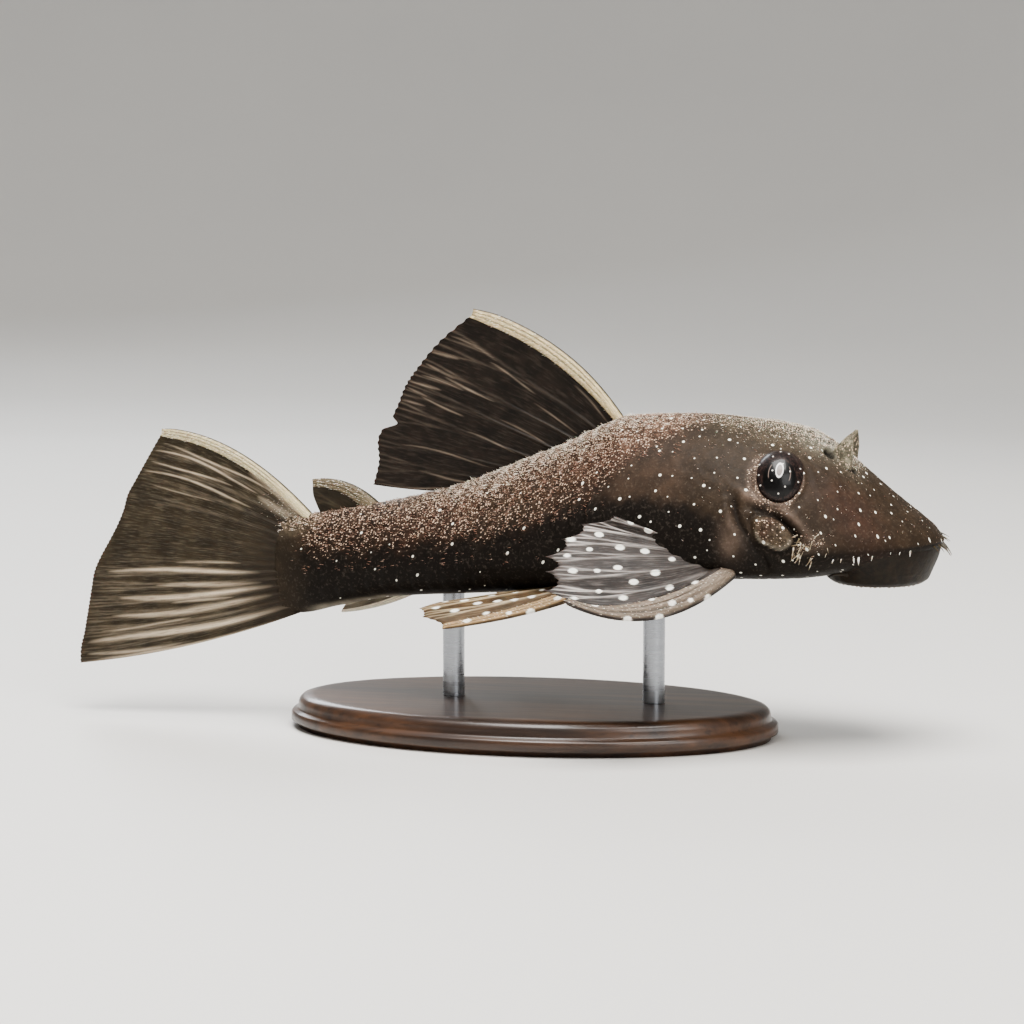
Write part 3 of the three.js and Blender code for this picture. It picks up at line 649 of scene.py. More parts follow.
eye_seats = {sign: eye_seat(sign) for sign in (1, -1)}
skin_points = bare + outward * (relief * stem_rise)[..., None]
skin_points[..., 1] *= stem_narrow
skin_points[..., 0] -= stem_back
eye_near = np.zeros(grid_x.shape)
eye_reach = np.full(grid_x.shape, 9.0)
eye_high = np.zeros(grid_x.shape)
for sign, seat in eye_seats.items():
    away = (skin_points - seat["centre"]) @ seat["axes"]
    reach = np.hypot(away[..., 0] / EYE_OPENING[0], away[..., 1] / EYE_OPENING[1])
    mine = (reach < 3) & (away[..., 2] > 0) & (side == sign) & (turn_size < 1.6)
    inside = np.clip(1 - (away[..., 0] / EYE_HALF[0]) ** 2 - (away[..., 1] / EYE_HALF[1]) ** 2, 0, 1)
    ball = EYE_HALF[2] * np.sqrt(inside)
    rim = seat["level"] + ORBIT_HEIGHT
    near = 1 - ease(reach, 1.05, 1.8)
    level = away[..., 2] * (1 - 0.2 * near) + (rim - 0.2) * 0.2 * near
    level = level + ORBIT_HEIGHT * 0.5 * np.exp(-(((reach - 1.12) / 0.1) ** 2))
    dive = 1 - ease(reach, 0.9, 1.06)
    level = level * (1 - dive) + (ball - 0.6) * dive
    moved = away.copy()
    moved[..., 2] = np.where(mine, level, away[..., 2])
    skin_points = np.where(mine[..., None], moved @ seat["axes"].T + seat["centre"], skin_points)
    low_part = -away[..., 1] / EYE_OPENING[1] * math.copysign(1, seat["axes"][2, 1])
    behind = ease(-away[..., 0] / EYE_OPENING[0] + 0.6 * low_part, -0.6, 1.0)
    past_rim = np.maximum(reach - 1.08 - 0.26 * behind, 0) / (0.08 + 0.1 * behind)
    eye_near = np.where(mine, np.exp(-(past_rim**2)), eye_near)
    eye_reach = np.where(mine, reach, eye_reach)
    eye_high = np.where(mine, away[..., 1] / EYE_OPENING[1], eye_high)
upper_sign = {s: float(np.sign(eye_seats[s]["axes"][2, 1])) for s in eye_seats}
print("eye centres:", {s: np.round(eye_seats[s]["centre"], 1).tolist() for s in eye_seats}, upper_sign)

# %% Nostril pits
NOSTRIL_X, NOSTRIL_Y = 75.5, 4.9
PIT_PLACES = ((-1.75, 0.82, 0.9), (1.5, 0.4, 0.35))
nostril_shade = np.zeros(grid_x.shape)
nostril_near = np.zeros(grid_x.shape)
for ahead_of_flap, half_size, depth in PIT_PLACES:
    away = np.hypot(grid_x - NOSTRIL_X - ahead_of_flap, (np.abs(bare[..., 1]) - NOSTRIL_Y) * 0.9)
    above = turn_size < 1.4
    pit = np.where(above, 1 - ease(away / half_size, 0.45, 1.0), 0)
    lip = np.where(above, np.exp(-(((away / half_size - 1.25) / 0.25) ** 2)), 0)
    skin_points = skin_points + outward * (0.12 * lip - depth * pit)[..., None]
    nostril_shade = np.maximum(nostril_shade, np.where(above, 1 - ease(away / half_size, 0.72, 1.05), 0))
    nostril_near = np.maximum(nostril_near, np.where(above, 1 - ease(away / half_size, 1.0, 1.2), 0))
print("nostril pits sunk")

# %% [markdown]
# The colours are painted on the grid's points as wide, soft regions: a grey-brown head with a reddish
# cheek, a warm back and upper flank with a painted highlight along the top, a near-black lower flank that
# is partly its own dark colour and partly painted shade, painted shade in the hollow behind the pectoral
# fin's root, a painted highlight on the brow ridge and a pale belly. The fine dots come later, in the finish.

# %% Regions of colour
HEAD_BROWN = painted(100, 82, 65)
CHEEK_RED = painted(122, 80, 66)
SHOULDER_GREY = painted(112, 90, 74)
FLANK_WARM = painted(150, 108, 88)
FLANK_OLIVE = painted(128, 108, 84)
# near black: the lower flank's own dark colour, and painted shade in grooves and hollows
FLANK_DARK_AND_SHADE = painted(42, 34, 28)
STEM_DARK = painted(42, 35, 29)
# pale bone on the gill cover's edge and the keel, and the painted highlight on the brow
PALE_BONE_AND_HIGHLIGHT = painted(250, 238, 214)
RIDGE_GREY = painted(182, 156, 138)
LOW_BAND_OLIVE_AND_SHADE = painted(46, 38, 30)
TAIL_OLIVE = painted(90, 77, 62)
BELLY_PALE = painted(196, 178, 152)
BACK_HIGHLIGHT = painted(250, 218, 194)
SHOULDER_WARM_HIGHLIGHT = painted(236, 184, 152)
COVER_TAN = painted(156, 136, 112)
GLEAM_CREAM = painted(226, 212, 180)
NAPE_HIGHLIGHT = painted(255, 250, 226)
STEM_CREAM = painted(232, 208, 176)
PIT_SHADE = painted(16, 13, 11)
speckle_edge = smooth(
    [(-3, 5.6), (0, 6.2), (5, 7.6), (11, 8.6), (16, 9.6), (23, 11.2), (31, 13.6), (36, 14.6), (41, 14.2),
     (45, 13.6), (49, 10.8), (54, 8.0), (60, 6.4), (66, 6.0)]
)
ragged = 0.5 * np.sin(grid_x * 2.9) * np.sin(down * 2.3 + 1.0) + 0.5 * np.sin(grid_x * 0.83 + down)
edge_level = speckle_edge(grid_x)
upper_flank = 1 - ease(down + ragged, edge_level - 4.5, edge_level + 1.2)
speckled = 1 - ease(down + ragged, edge_level - 2.5, edge_level + 2.6)
in_head = ease(grid_x, 52, 60)
dark_level = smooth(
    [(-3, 7), (20, 12.5), (40, 16.2), (47, 17.2), (54, 18.5), (58, 19.6), (66, 23.5), (89, 30)]
)
# The lowest part of the flank, under the body and behind the pectoral fin's root, takes painted shade.
low_dark_and_shade = ease(down + 0.7 * ragged, dark_level(grid_x) - 2.4, dark_level(grid_x) + 0.4)
belly = ease(turn_size, 2.55, 2.85) * ease(grid_x, 14, 30)


def blend(colour, target, share):
    return colour + (np.asarray(target) - colour) * share[..., None]


# How strongly the top of the back takes a painted highlight, along the body.
back_light = smooth(
    [(-3, 0.9), (0, 0.7), (5, 0.3), (12, 0.35), (20, 0.7), (28, 1), (44, 1), (54, 0.7), (89, 0.5)]
)
top_light = back_light(grid_x)
warmth = 0.5 + 0.5 * np.sin(grid_x * 0.21 + 1.2) * np.cos(down * 0.33)
flank = blend(np.broadcast_to(FLANK_OLIVE, bare.shape), FLANK_WARM, 0.35 + 0.65 * warmth)
# Below the speckled edge the flank is near black: partly its own dark colour, partly painted shade.
lower = blend(np.broadcast_to(STEM_DARK, bare.shape), FLANK_DARK_AND_SHADE, ease(grid_x, 10, 26))
ground = blend(lower, flank, upper_flank)
# Painted shade: the upper flank darkens down its height, away from the light overhead.
ground = blend(ground, FLANK_DARK_AND_SHADE, 0.5 * upper_flank * ease(down, 3.0, edge_level + 1.0))
# Painted highlight along the top of the back.
ground = blend(ground, BACK_HIGHLIGHT, 0.7 * top_light * upper_flank * (1 - ease(down, 0.5, 6.0)))
# A painted highlight on the top of the shoulder, in the fish's warm peach tone.
shoulder_highlight = np.exp(-(((grid_x - 50) / 6.5) ** 2) - (down / 7.0) ** 2)
ground = blend(ground, SHOULDER_WARM_HIGHLIGHT, 0.75 * shoulder_highlight)
# Where the back's painted highlight is weaker, the upper flank of the stem is painted darker.
ground = blend(ground, STEM_DARK, 0.6 * upper_flank * (1 - top_light) * (grid_x < 26))
shoulder = ease(grid_x, 41, 49) * (1 - low_dark_and_shade) * (1 - upper_flank)
ground = blend(ground, SHOULDER_GREY, shoulder)
# The head's lower edge under the rim is dark: partly the lips' olive colour, partly painted shade.
band_turn = smooth([(50, 1.42), (62, 1.5), (70, 1.58), (75, 1.6), (SNOUT_X, 1.62)])(grid_x)
low_band = ease(turn_size + 0.03 * ragged, band_turn - 0.1, band_turn + 0.12)
head_colour = blend(np.broadcast_to(HEAD_BROWN, bare.shape), LOW_BAND_OLIVE_AND_SHADE, low_band)
cheek = np.exp(-(((grid_x - 77.0) / 4.6) ** 2) - ((down - 12.5) / 4.5) ** 2)
head_colour = blend(head_colour, CHEEK_RED, 0.5 * cheek)
ground = blend(ground, head_colour, in_head)
# Painted shade on the lower flank under the body and in the hollow behind the pectoral fin's root.
ground = blend(ground, FLANK_DARK_AND_SHADE, low_dark_and_shade * (1 - ease(grid_x, 63.2, 65.6)) * (grid_x > 30))
print("wide regions painted")

# %% Markings on bones and belly, painted shade in pits and grooves, painted highlights
girdle = np.exp(-(((grid_x - 62.0) / 1.5) ** 2) - ((down - 21.8) / 2.6) ** 2)
ground = blend(ground, RIDGE_GREY, 0.8 * girdle)
ground = blend(ground, RIDGE_GREY, 0.7 * cheek_ridge)
ground = blend(ground, COVER_TAN, 0.9 * gill_cover)
ground = blend(ground, CHEEK_RED, 0.6 * gill_cover * np.exp(-(((plate_along + 0.9) / 0.9) ** 2)))
ground = blend(ground, PALE_BONE_AND_HIGHLIGHT, 0.9 * gill_cover_edge)
ground = blend(ground, RIDGE_GREY, np.clip(eye_near, 0, 1))
tuft = np.exp(-(((grid_x - 72.4) / 1.7) ** 2) - ((turn_size - 1.5) / 0.1) ** 2)
ground = blend(ground, RIDGE_GREY, 0.8 * tuft)
# Painted highlight on the brow ridge, where the light from above falls.
ground = blend(ground, PALE_BONE_AND_HIGHLIGHT, 0.5 * brow_ridge)
# Painted highlights on the top of the head, brightest just behind the nostrils.
top_gleam = np.exp(-((down / 5.2) ** 2)) * ease(grid_x, 52, 67) * (1 - ease(grid_x, 75.5, 79.5))
ground = blend(ground, GLEAM_CREAM, 0.7 * top_gleam)
nape_shine = np.exp(-(((grid_x - 73.0) / 3.2) ** 2) - ((down - 2.5) / 3.0) ** 2)
ground = blend(ground, NAPE_HIGHLIGHT, 0.8 * nape_shine)
# Painted shade in the gill slit and trough, and in the groove round the gill cover, deeper on its front and
# lower side.
ground = blend(ground, FLANK_DARK_AND_SHADE, 0.85 * np.maximum(gill_slit, gill_trough) * (1 - gill_cover))
ring_shade = 0.4 + 0.6 * ease(ahead + 0.8 * below, -1.6, 0.6)
ground = blend(ground, FLANK_DARK_AND_SHADE, 0.9 * cover_ring * ring_shade)
# Painted shade in the nostril pits and where the skin dives under the eye.
ground = blend(ground, PIT_SHADE, 0.9 * nostril_shade)
ground = blend(ground, PIT_SHADE, 1 - ease(eye_reach, 0.93, 1.02))
ground = blend(ground, BELLY_PALE, belly)
keel = ease(turn_size, 2.5, 2.8) * ease(grid_x, 0, 3) * (1 - ease(grid_x, 13, 17))
ground = blend(ground, PALE_BONE_AND_HIGHLIGHT, 0.8 * keel)
stem_end = 1 - ease(grid_x + 0.6 * ragged, -1.6, 3.4)
ground = blend(ground, TAIL_OLIVE, stem_end)
stem_top = (1 - ease(down, 1.5, 4.5)) * (1 - ease(grid_x, 0.5, 6.0))
ground = blend(ground, STEM_CREAM, 0.8 * stem_top)
# Bright points: pale thorn tips with painted glints of light, thinning out down the flank.
speckle = speckled * (1 - 0.4 * ease(down, 3.0, edge_level)) * (1 - in_head)
on_head = 0.14 * in_head * (turn_size < 1.5)
speckle += 0.5 * brow_ridge + 0.85 * top_gleam + 0.7 * tuft + 0.5 * eye_near + 0.5 * gill_cover + on_head
stem_fade = 1 - stem_end * ease(down, 1.2, 4.2)
speckle = np.clip(speckle * (1 - belly) * stem_fade * (1 - nostril_near), 0, 1)
dots = np.clip(0.3 + 0.7 * ease(grid_x, 41, 50) + 0.12 * (1 - upper_flank), 0, 1)
dots = dots * (1 - belly) * (1 - stem_end) * (1 - 0.5 * gill_cover)
dots = dots * ease(eye_reach, 1.0, 1.1)
print(f"speckled share of the grid {float((speckle > 0.5).mean()):.2f}")

# %% Build the skin
rings = len(ring_x)
corner = np.arange(rings * AROUND).reshape(rings, AROUND)
beside = np.roll(corner, -1, axis=1)
quads = np.stack([corner[:-1], corner[1:], beside[1:], beside[:-1]], -1).reshape(-1, 4)
skin = mesh_piece("skin", skin_points.reshape(-1, 3), quads)
set_colour(skin, "Ground", ground.reshape(-1, 3))
set_value(skin, "Speckle", speckle)
set_value(skin, "Dots", dots)
set_value(skin, "Belly", belly)
MAP_MIDDLE = 42.0
set_map(skin, "SkinMap", np.repeat(along_back, AROUND), (side * down).ravel() + MAP_MIDDLE)
print(f"skin: {triangles_of(skin)} triangles")

# %% Close the skin's two ends
shell = bmesh.new()
shell.from_mesh(skin.data)
open_edges = [edge for edge in shell.edges if edge.is_boundary]
bmesh.ops.holes_fill(shell, edges=open_edges, sides=0)
end_caps = [face for face in shell.faces if len(face.verts) > 4]
bmesh.ops.triangulate(shell, faces=end_caps)
bmesh.ops.recalc_face_normals(shell, faces=shell.faces)
shell.to_mesh(skin.data)
shell.free()
print(f"skin closed: {triangles_of(skin)} triangles")

# %% [markdown]
# The finish of the skin adds what is too small for the grid: leathery grain, fine bright points crowded
# on the upper flank, where the light catches the thorns, and the round pale dots that mark this fish
# from snout to tail. Dots and points lie on a map of the skin in millimetres, so they stay round.

# %% Finish of the skin
def skin_finish():
    recipe = Recipe("pleco_skin")
    where = recipe.place("SkinMap")
    space = recipe.place()
    ground_colour = recipe.colour("Ground")
    speckle_share = recipe.value("Speckle")
    dot_share = recipe.value("Dots")
    mottle = recipe.noise(space, 420.0, 5.0, 0.6)
    grain = recipe.noise(space, 2600.0, 3.0, 0.6)
    shadow = recipe.mix(0.42, ground_colour, (0.01, 0.008, 0.006, 1))
    shaded = recipe.mix(recipe.ramp(mottle, 0.38, 0.68), shadow, ground_colour)
    lit_grain = recipe.mix(0.35, shaded, (0.5, 0.42, 0.34, 1))
    shaded = recipe.mix(recipe.ramp(grain, 0.5, 0.75, 0.0, 0.2), shaded, lit_grain)
    pits = recipe.ramp(recipe.noise(space, 1700.0, 3.0, 0.65), 0.44, 0.6, 0.75, 0.0)
    shaded = recipe.mix(recipe.times(pits, speckle_share), shaded, (0.006, 0.004, 0.003, 1))
    far, tint = recipe.cells(recipe.place("SkinMap", (2.9, 4.0, 1)), 1.0, 1.0, flat=True)
    pick = recipe.add("ShaderNodeSeparateColor")
    recipe.feed(pick.inputs[0], tint)
    size = recipe.ramp(pick.outputs[0], 0.0, 1.0, 0.05, 0.42)
    point = recipe.ramp(recipe.less(size, far), -0.02, 0.1)
    shows = recipe.ramp(recipe.plus(speckle_share, recipe.times(pick.outputs[1], 0.8)), 0.95, 1.15)
    speck = recipe.times(point, shows)
    speck = recipe.times(speck, recipe.ramp(speckle_share, 0.0, 0.25))
    # Bright points: pale thorn tips with painted glints of light.
    shaded = recipe.mix(recipe.times(speck, 0.85), shaded, rgb(216, 190, 168))
    dot_far, dot_tint = recipe.cells(where, 0.36, 0.75, flat=True)
    dot_pick = recipe.add("ShaderNodeSeparateColor")
    recipe.feed(dot_pick.inputs[0], dot_tint)
    dot_size = recipe.ramp(dot_pick.outputs[0], 0.0, 1.0, 0.035, 0.08)
    dot = recipe.ramp(recipe.less(dot_size, dot_far), -0.012, 0.012)
    chosen = recipe.ramp(recipe.less(dot_share, dot_pick.outputs[1]), -0.01, 0.01)
    dot = recipe.times(dot, chosen)
    shaded = recipe.mix(dot, shaded, rgb(236, 234, 222))
    height = recipe.plus(recipe.times(grain, 0.35), recipe.times(mottle, 0.8))
    fine = recipe.bump(height, 0.45, 0.00022)
    raised = recipe.bump(recipe.plus(speck, recipe.times(dot, 0.6)), 0.5, 0.00012, fine)
    return recipe.finish(
        Base_Color=shaded, Roughness=recipe.ramp(grain, 0.3, 0.7, 0.52, 0.72), Normal=raised,
        Coat_Weight=0.03, Coat_Roughness=0.25, Specular_IOR_Level=0.13,
    )


skin_material = skin_finish()
skin.data.materials.append(skin_material)
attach(skin, "root")
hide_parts("head", "torso", "tail_stem", "gill_cover_left", "gill_cover_right")
print("skin finished")


# %% [markdown]
# A pleco's eye is a dark ball under clear skin. From the top of the pupil hangs a pale lobe that shades
# it from the light, and thin arcs of pale iris stand beside it. The ball is turned so that its up and
# ahead match the head's, and both are kept as values that the finish reads.

# %% Eyes
EYE_ROUND, EYE_RINGS = 72, 40


def eye_ball(sign, name):
    seat = eye_seats[sign]
    turns = np.linspace(0, 2 * math.pi, EYE_ROUND, endpoint=False)
    rises = np.linspace(0, math.pi, EYE_RINGS + 1)[1:-1]
    rise, turn = np.meshgrid(rises, turns, indexing="ij")
    local = np.stack([np.sin(rise) * np.cos(turn), np.sin(rise) * np.sin(turn), np.cos(rise)], -1)
    local = np.concatenate([[[0, 0, 1]], local.reshape(-1, 3), [[0, 0, -1]]]) * EYE_HALF
    cell = 1 + np.arange(len(rises) * EYE_ROUND).reshape(len(rises), EYE_ROUND)
    over = np.roll(cell, -1, axis=1)
    body = np.stack([cell[:-1], cell[1:], over[1:], over[:-1]], -1).reshape(-1, 4)
    ball = mesh_piece(name, local @ seat["axes"].T + seat["centre"], body)
    shell = bmesh.new()
    shell.from_mesh(ball.data)
    shell.verts.ensure_lookup_table()
    last = len(local) - 1
    for k in range(EYE_ROUND):
        shell.faces.new([shell.verts[i] for i in (0, cell[0, k], over[0, k])])
        shell.faces.new([shell.verts[i] for i in (last, over[-1, k], cell[-1, k])])
    bmesh.ops.recalc_face_normals(shell, faces=shell.faces)
    for face in shell.faces:
        face.smooth = True
    shell.to_mesh(ball.data)
    shell.free()
    set_value(ball, "EyeAhead", local[:, 0])
    set_value(ball, "EyeUp", local[:, 1] * upper_sign[sign])
    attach(ball, "root")
    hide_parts("eye_left" if sign > 0 else "eye_right")
    return ball


eyes = [eye_ball(1, "eyeball_left"), eye_ball(-1, "eyeball_right")]
print("eyes:", [triangles_of(eye) for eye in eyes], "triangles")


# %% Finish of the eyes
def eye_finish():
    recipe = Recipe("pleco_eye")
    ahead_mm = recipe.value("EyeAhead")
    up_mm = recipe.value("EyeUp")

    def oval(middle_ahead, middle_up, half_ahead, half_up):
        across = recipe.maths("DIVIDE", recipe.less(ahead_mm, middle_ahead), half_ahead)
        high = recipe.maths("DIVIDE", recipe.less(up_mm, middle_up), half_up)
        squares = recipe.plus(recipe.times(across, across), recipe.times(high, high))
        return recipe.maths("SQRT", squares)

    grain = recipe.noise(recipe.place(), 3200.0, 4.0, 0.65)
    iris = recipe.mix(recipe.ramp(grain, 0.4, 0.65), rgb(16, 11, 11), rgb(58, 43, 39))
    pupil = recipe.ramp(oval(0.0, -0.15, 2.15, 2.5), 0.94, 1.04)
    colour = recipe.mix(pupil, rgb(7, 6, 6), iris)
    lobe = oval(-0.1, 0.85, 0.52, 1.1)
    lobe_rim = recipe.times(recipe.ramp(lobe, 0.62, 0.8), recipe.ramp(lobe, 0.93, 1.05, 1.0, 0.0))
    lobe_fill = recipe.ramp(lobe, 0.55, 0.8, 1.0, 0.0)
    colour = recipe.mix(recipe.times(lobe_fill, 0.7), colour, rgb(168, 158, 152))
    colour = recipe.mix(recipe.times(lobe_rim, 0.95), colour, rgb(244, 240, 236))
    arcs = oval(-0.05, 0.35, 1.42, 2.0)
    ring = recipe.times(recipe.ramp(arcs, 0.93, 0.98), recipe.ramp(arcs, 1.01, 1.06, 1.0, 0.0))
    beside = recipe.ramp(recipe.maths("ABSOLUTE", recipe.less(up_mm, 0.6)), 0.7, 1.1, 1.0, 0.0)
    colour = recipe.mix(recipe.times(recipe.times(ring, beside), 0.6), colour, rgb(150, 132, 124))
    face_place = recipe.add("ShaderNodeCombineXYZ")
    recipe.feed(face_place.inputs["X"], ahead_mm)
    recipe.feed(face_place.inputs["Y"], up_mm)
    dot_far, _ = recipe.cells(face_place.outputs[0], 0.62, 0.9, flat=True)
    colour = recipe.mix(recipe.ramp(dot_far, 0.05, 0.09, 0.9, 0.0), colour, rgb(226, 222, 214))
    return recipe.finish(
        Base_Color=colour, Roughness=0.35, Coat_Weight=0.22, Coat_Roughness=0.03, Specular_IOR_Level=0.25
    )


eye_material = eye_finish()
for eye in eyes:
    eye.data.materials.append(eye_material)
print("eyes finished")

# %% [markdown]
# A fin is a fan of rays with a thin membrane between them. Each ray runs on a bowed line from its root
# to its tip; between rays the fin is a smooth curve through them. The thickness carries the relief: a
# ray is a rounded ridge that splits in two and again in two on its way out. The first ray is a stout
# spine with a round front edge. The two faces and the rim between them make one closed, thin piece.


# %% The lines of the rays
def ray_lines(first, last, tips_and_bows):
    first, last = np.array(first, float), np.array(last, float)
    shares = np.linspace(0, 1, len(tips_and_bows))
    lines = []
    for share, (tip, bow) in zip(shares, tips_and_bows):
        root, tip = first + (last - first) * share, np.array(tip, float)
        lines.append((root, (root + tip) / 2 + np.array(bow, float), tip))
    return np.array(lines)


def flat(points):
    return [((x, 0.0, z), (bx, 0.0, bz)) for (x, z), (bx, bz) in points]


def across_rays(controls, place, t):
    """Points on the fan: place counts rays from the first, t runs from root to tip."""
    count = len(controls)
    on_ray = (1 - t)[..., None] ** 2, 2 * (t * (1 - t))[..., None], t[..., None] ** 2
    low = np.clip(np.floor(place).astype(int), 0, count - 2)
    f = (place - low)[..., None]

    def at(index):
        index = np.clip(index, 0, count - 1)
        start, middle, end = controls[index, 0], controls[index, 1], controls[index, 2]
        return on_ray[0] * start + on_ray[1] * middle + on_ray[2] * end

    a, b, c, d = at(low - 1), at(low), at(low + 1), at(low + 2)
    return 0.5 * (2 * b + (c - a) * f + (2 * a - 5 * b + 4 * c - d) * f**2 + (3 * b - a - 3 * c + d) * f**3)


# %% Ridges of a fan's rays
def branch_ridges(place, t, room, count, splits, width):
    """How strongly a ray shows at each point, from 0 on the membrane to 1 on the crest of a ray."""
    nearest = np.clip(np.round(place), 0, count - 1)
    offset = place - nearest
    first_split = 0.22 * ease(t, splits[0], 1.0)
    second_split = 0.11 * ease(t, splits[1], 1.0)
    strength = np.zeros(place.shape)
    thin = width * (1 - 0.55 * t)
    for one in (-1, 1):
        for two in (-1, 1):
            centre = one * first_split + two * second_split
            away = np.abs(offset - centre) * room
            strength = np.maximum(strength, np.exp(-((away / thin) ** 2)))
    return strength


# %% Paint of a fan: its rays, streaks and spots
def ray_paint(s, t, ridges, count, regions, lengths, seed):
    """How bright a fin's rays are painted: by region of the fan, along each ray, and broken by chance."""
    chance = np.random.default_rng(seed)
    ray = np.clip(np.round(s), 0, count - 1).astype(int)
    strength = chance.uniform(0.55, 1.0, count)[ray]
    first, second = chance.uniform(0, 6.28, count)[ray], chance.uniform(0, 6.28, count)[ray]
    breaks = 0.72 + 0.28 * np.sin(t * 7 + first) * np.sin(t * 17 + second)
    share = np.clip(s, 0, None) / (count - 1)
    return np.clip(ridges * strength * breaks * regions(share) * lengths(t), 0, 1)


def streak_paint(place, t, room, streaks):
    """Long pale streaks with pointed ends, each at a ray's place, between two shares of its length."""
    lit = np.zeros(place.shape)
    for at, start, end, half_wide, strength in streaks:
        along = np.clip((t - start) / (end - start), 0, 1)
        swell = np.sqrt(4 * along * (1 - along))
        wander = 0.12 * np.sin(7 * t + 5 * at)
        away = np.abs(place - at - wander) * room
        lit = np.maximum(lit, strength * swell * np.exp(-((away / (half_wide * (0.3 + 0.7 * swell))) ** 2)))
    return lit


def spot_paint(fan, along, t, seed, spacing, half_long, half_wide):
    """Pale oval spots drawn out along the rays, no two closer than the spacing."""
    chance = np.random.default_rng(seed)
    flat_fan, flat_t = fan.reshape(-1, 3), t.ravel()
    chosen = []
    for index in chance.permutation(len(flat_fan))[:4000]:
        clear = all(np.linalg.norm(flat_fan[index] - flat_fan[other]) > spacing for other in chosen)
        if clear and 0.14 < flat_t[index] < 0.94:
            chosen.append(index)
    spot = np.zeros(t.shape)
    for index in chosen:
        size = chance.uniform(0.75, 1.15)
        offset = fan - flat_fan[index]
        way = along.reshape(-1, 3)[index]
        lengthways = offset @ way
        sideways = np.linalg.norm(offset - lengthways[..., None] * way, axis=-1)
        far = np.hypot(lengthways / half_long, sideways / half_wide) / size
        spot = np.maximum(spot, 1 - ease(far, 0.86, 1.04))
    return spot


# %% One fan from its rays
def make_fan(name, controls, columns, rows, spine_half, spine_width, ray_half, ray_width,
             membrane_half=0.13, notch=0.0, serration=0.0, splits=(0.35, 0.7), spine_taper=0.6, notch_at=None,
             regions=((0, 1), (1, 1)), lengths=((0, 1), (1, 1)), spine_shape=((0, 1), (1, 0.45)),
             ray_glow=1.0, streaks=(), spot_spacing=0.0):
    count = len(controls)
    front = np.sin(np.linspace(-math.pi / 2, 0, 19)[:-1])
    inner = np.linspace(0, count - 1, columns * (count - 1) + 1)
    place = np.concatenate([front, inner])
    s, t = np.meshgrid(place, np.linspace(0, 1, rows + 1), indexing="ij")
    within = s - np.floor(s)
    fall = notch * np.sin(np.pi * within) ** 0.8
    if notch_at is not None:
        notch_ray, notch_depth, notch_width = notch_at
        fall = fall + notch_depth * np.exp(-(((s - notch_ray) / notch_width) ** 2))
    fall = fall + serration * (0.5 - 0.5 * np.cos(2 * np.pi * 4 * s))
    fall = np.where(s > 0, fall, 0)
    reach = t * (1 - fall)
    fan = across_rays(controls, np.maximum(s, 0), reach)
    next_ray = across_rays(controls, np.maximum(s, 0) + 0.05, reach)
    further = across_rays(controls, np.maximum(s, 0), np.minimum(reach + 0.01, 1.02))
    along = unit(further - fan)
    across = next_ray - fan
    across = unit(across - along * np.sum(across * along, -1, keepdims=True))
    width = spine_width * smooth(spine_shape)(t)
    fan = fan + across * (np.minimum(s, 0) * width)[..., None]
    step = np.linalg.norm(np.diff(fan, axis=0), axis=-1)
    gone = np.concatenate([np.zeros((1, rows + 1)), np.cumsum(step, axis=0)], axis=0)
    room = np.gradient(gone, place, axis=0)
    stout = spine_half * (1 - spine_taper * t)
    from_spine = np.where(s > 0, gone - gone[len(front)], s * width)
    spine_arch = np.sqrt(np.clip(1 - (from_spine / np.maximum(width, 1e-6)) ** 2, 0, 1))
    ridges = branch_ridges(s, t, room, count, splits, ray_width) * (s > 0.5)
    raised = 0.35 + 0.65 * smooth(regions)(np.clip(s, 0, None) / (count - 1))
    half = membrane_half + (ray_half * (1 - 0.6 * t) - membrane_half) * ridges * raised
    half = np.where(s > 0, np.maximum(half, stout * spine_arch), stout * spine_arch)
    spine_place = from_spine / np.maximum(width, 1e-6)
    grooves = np.exp(-(((spine_place + 0.42) / 0.1) ** 2)) + np.exp(-(((spine_place - 0.12) / 0.1) ** 2))
    grooves = grooves * ease(t, 0.1, 0.3) * (s < 0.6)
    half = half * (1 - 0.16 * grooves) * (1 - 0.75 * ease(t, 0.975, 1.0))
    bright = ray_glow * ray_paint(s, t, ridges, count, smooth(regions), smooth(lengths), len(name))
    bright = np.maximum(bright, streak_paint(s, t, room, streaks))
    values = {
        "Ray": ridges, "Spine": spine_arch * (s < 0.5), "Outward": t, "Bright": bright, "Groove": grooves,
        "Fan": np.clip(s, 0, None) / (count - 1), "Spot": np.zeros(s.shape),
    }
    if spot_spacing:
        values["Spot"] = spot_paint(fan, along, t, len(name), spot_spacing, 0.55, 0.37)
    return fan_mesh(name, fan, half, s, t, gone, controls, values)


# %% From fan to closed piece
BAKE_SPAN = 110.0  # mm of skin or fin that the baked map's side stands for
MAP_MARGIN = 4.0  # mm that a fin's face keeps from the map's edge
RAY_ROOM = 1.6  # mm that the finish gives each ray, whatever the fan's real width


def on_both_faces(values):
    return np.concatenate([values.ravel(), values.ravel()])


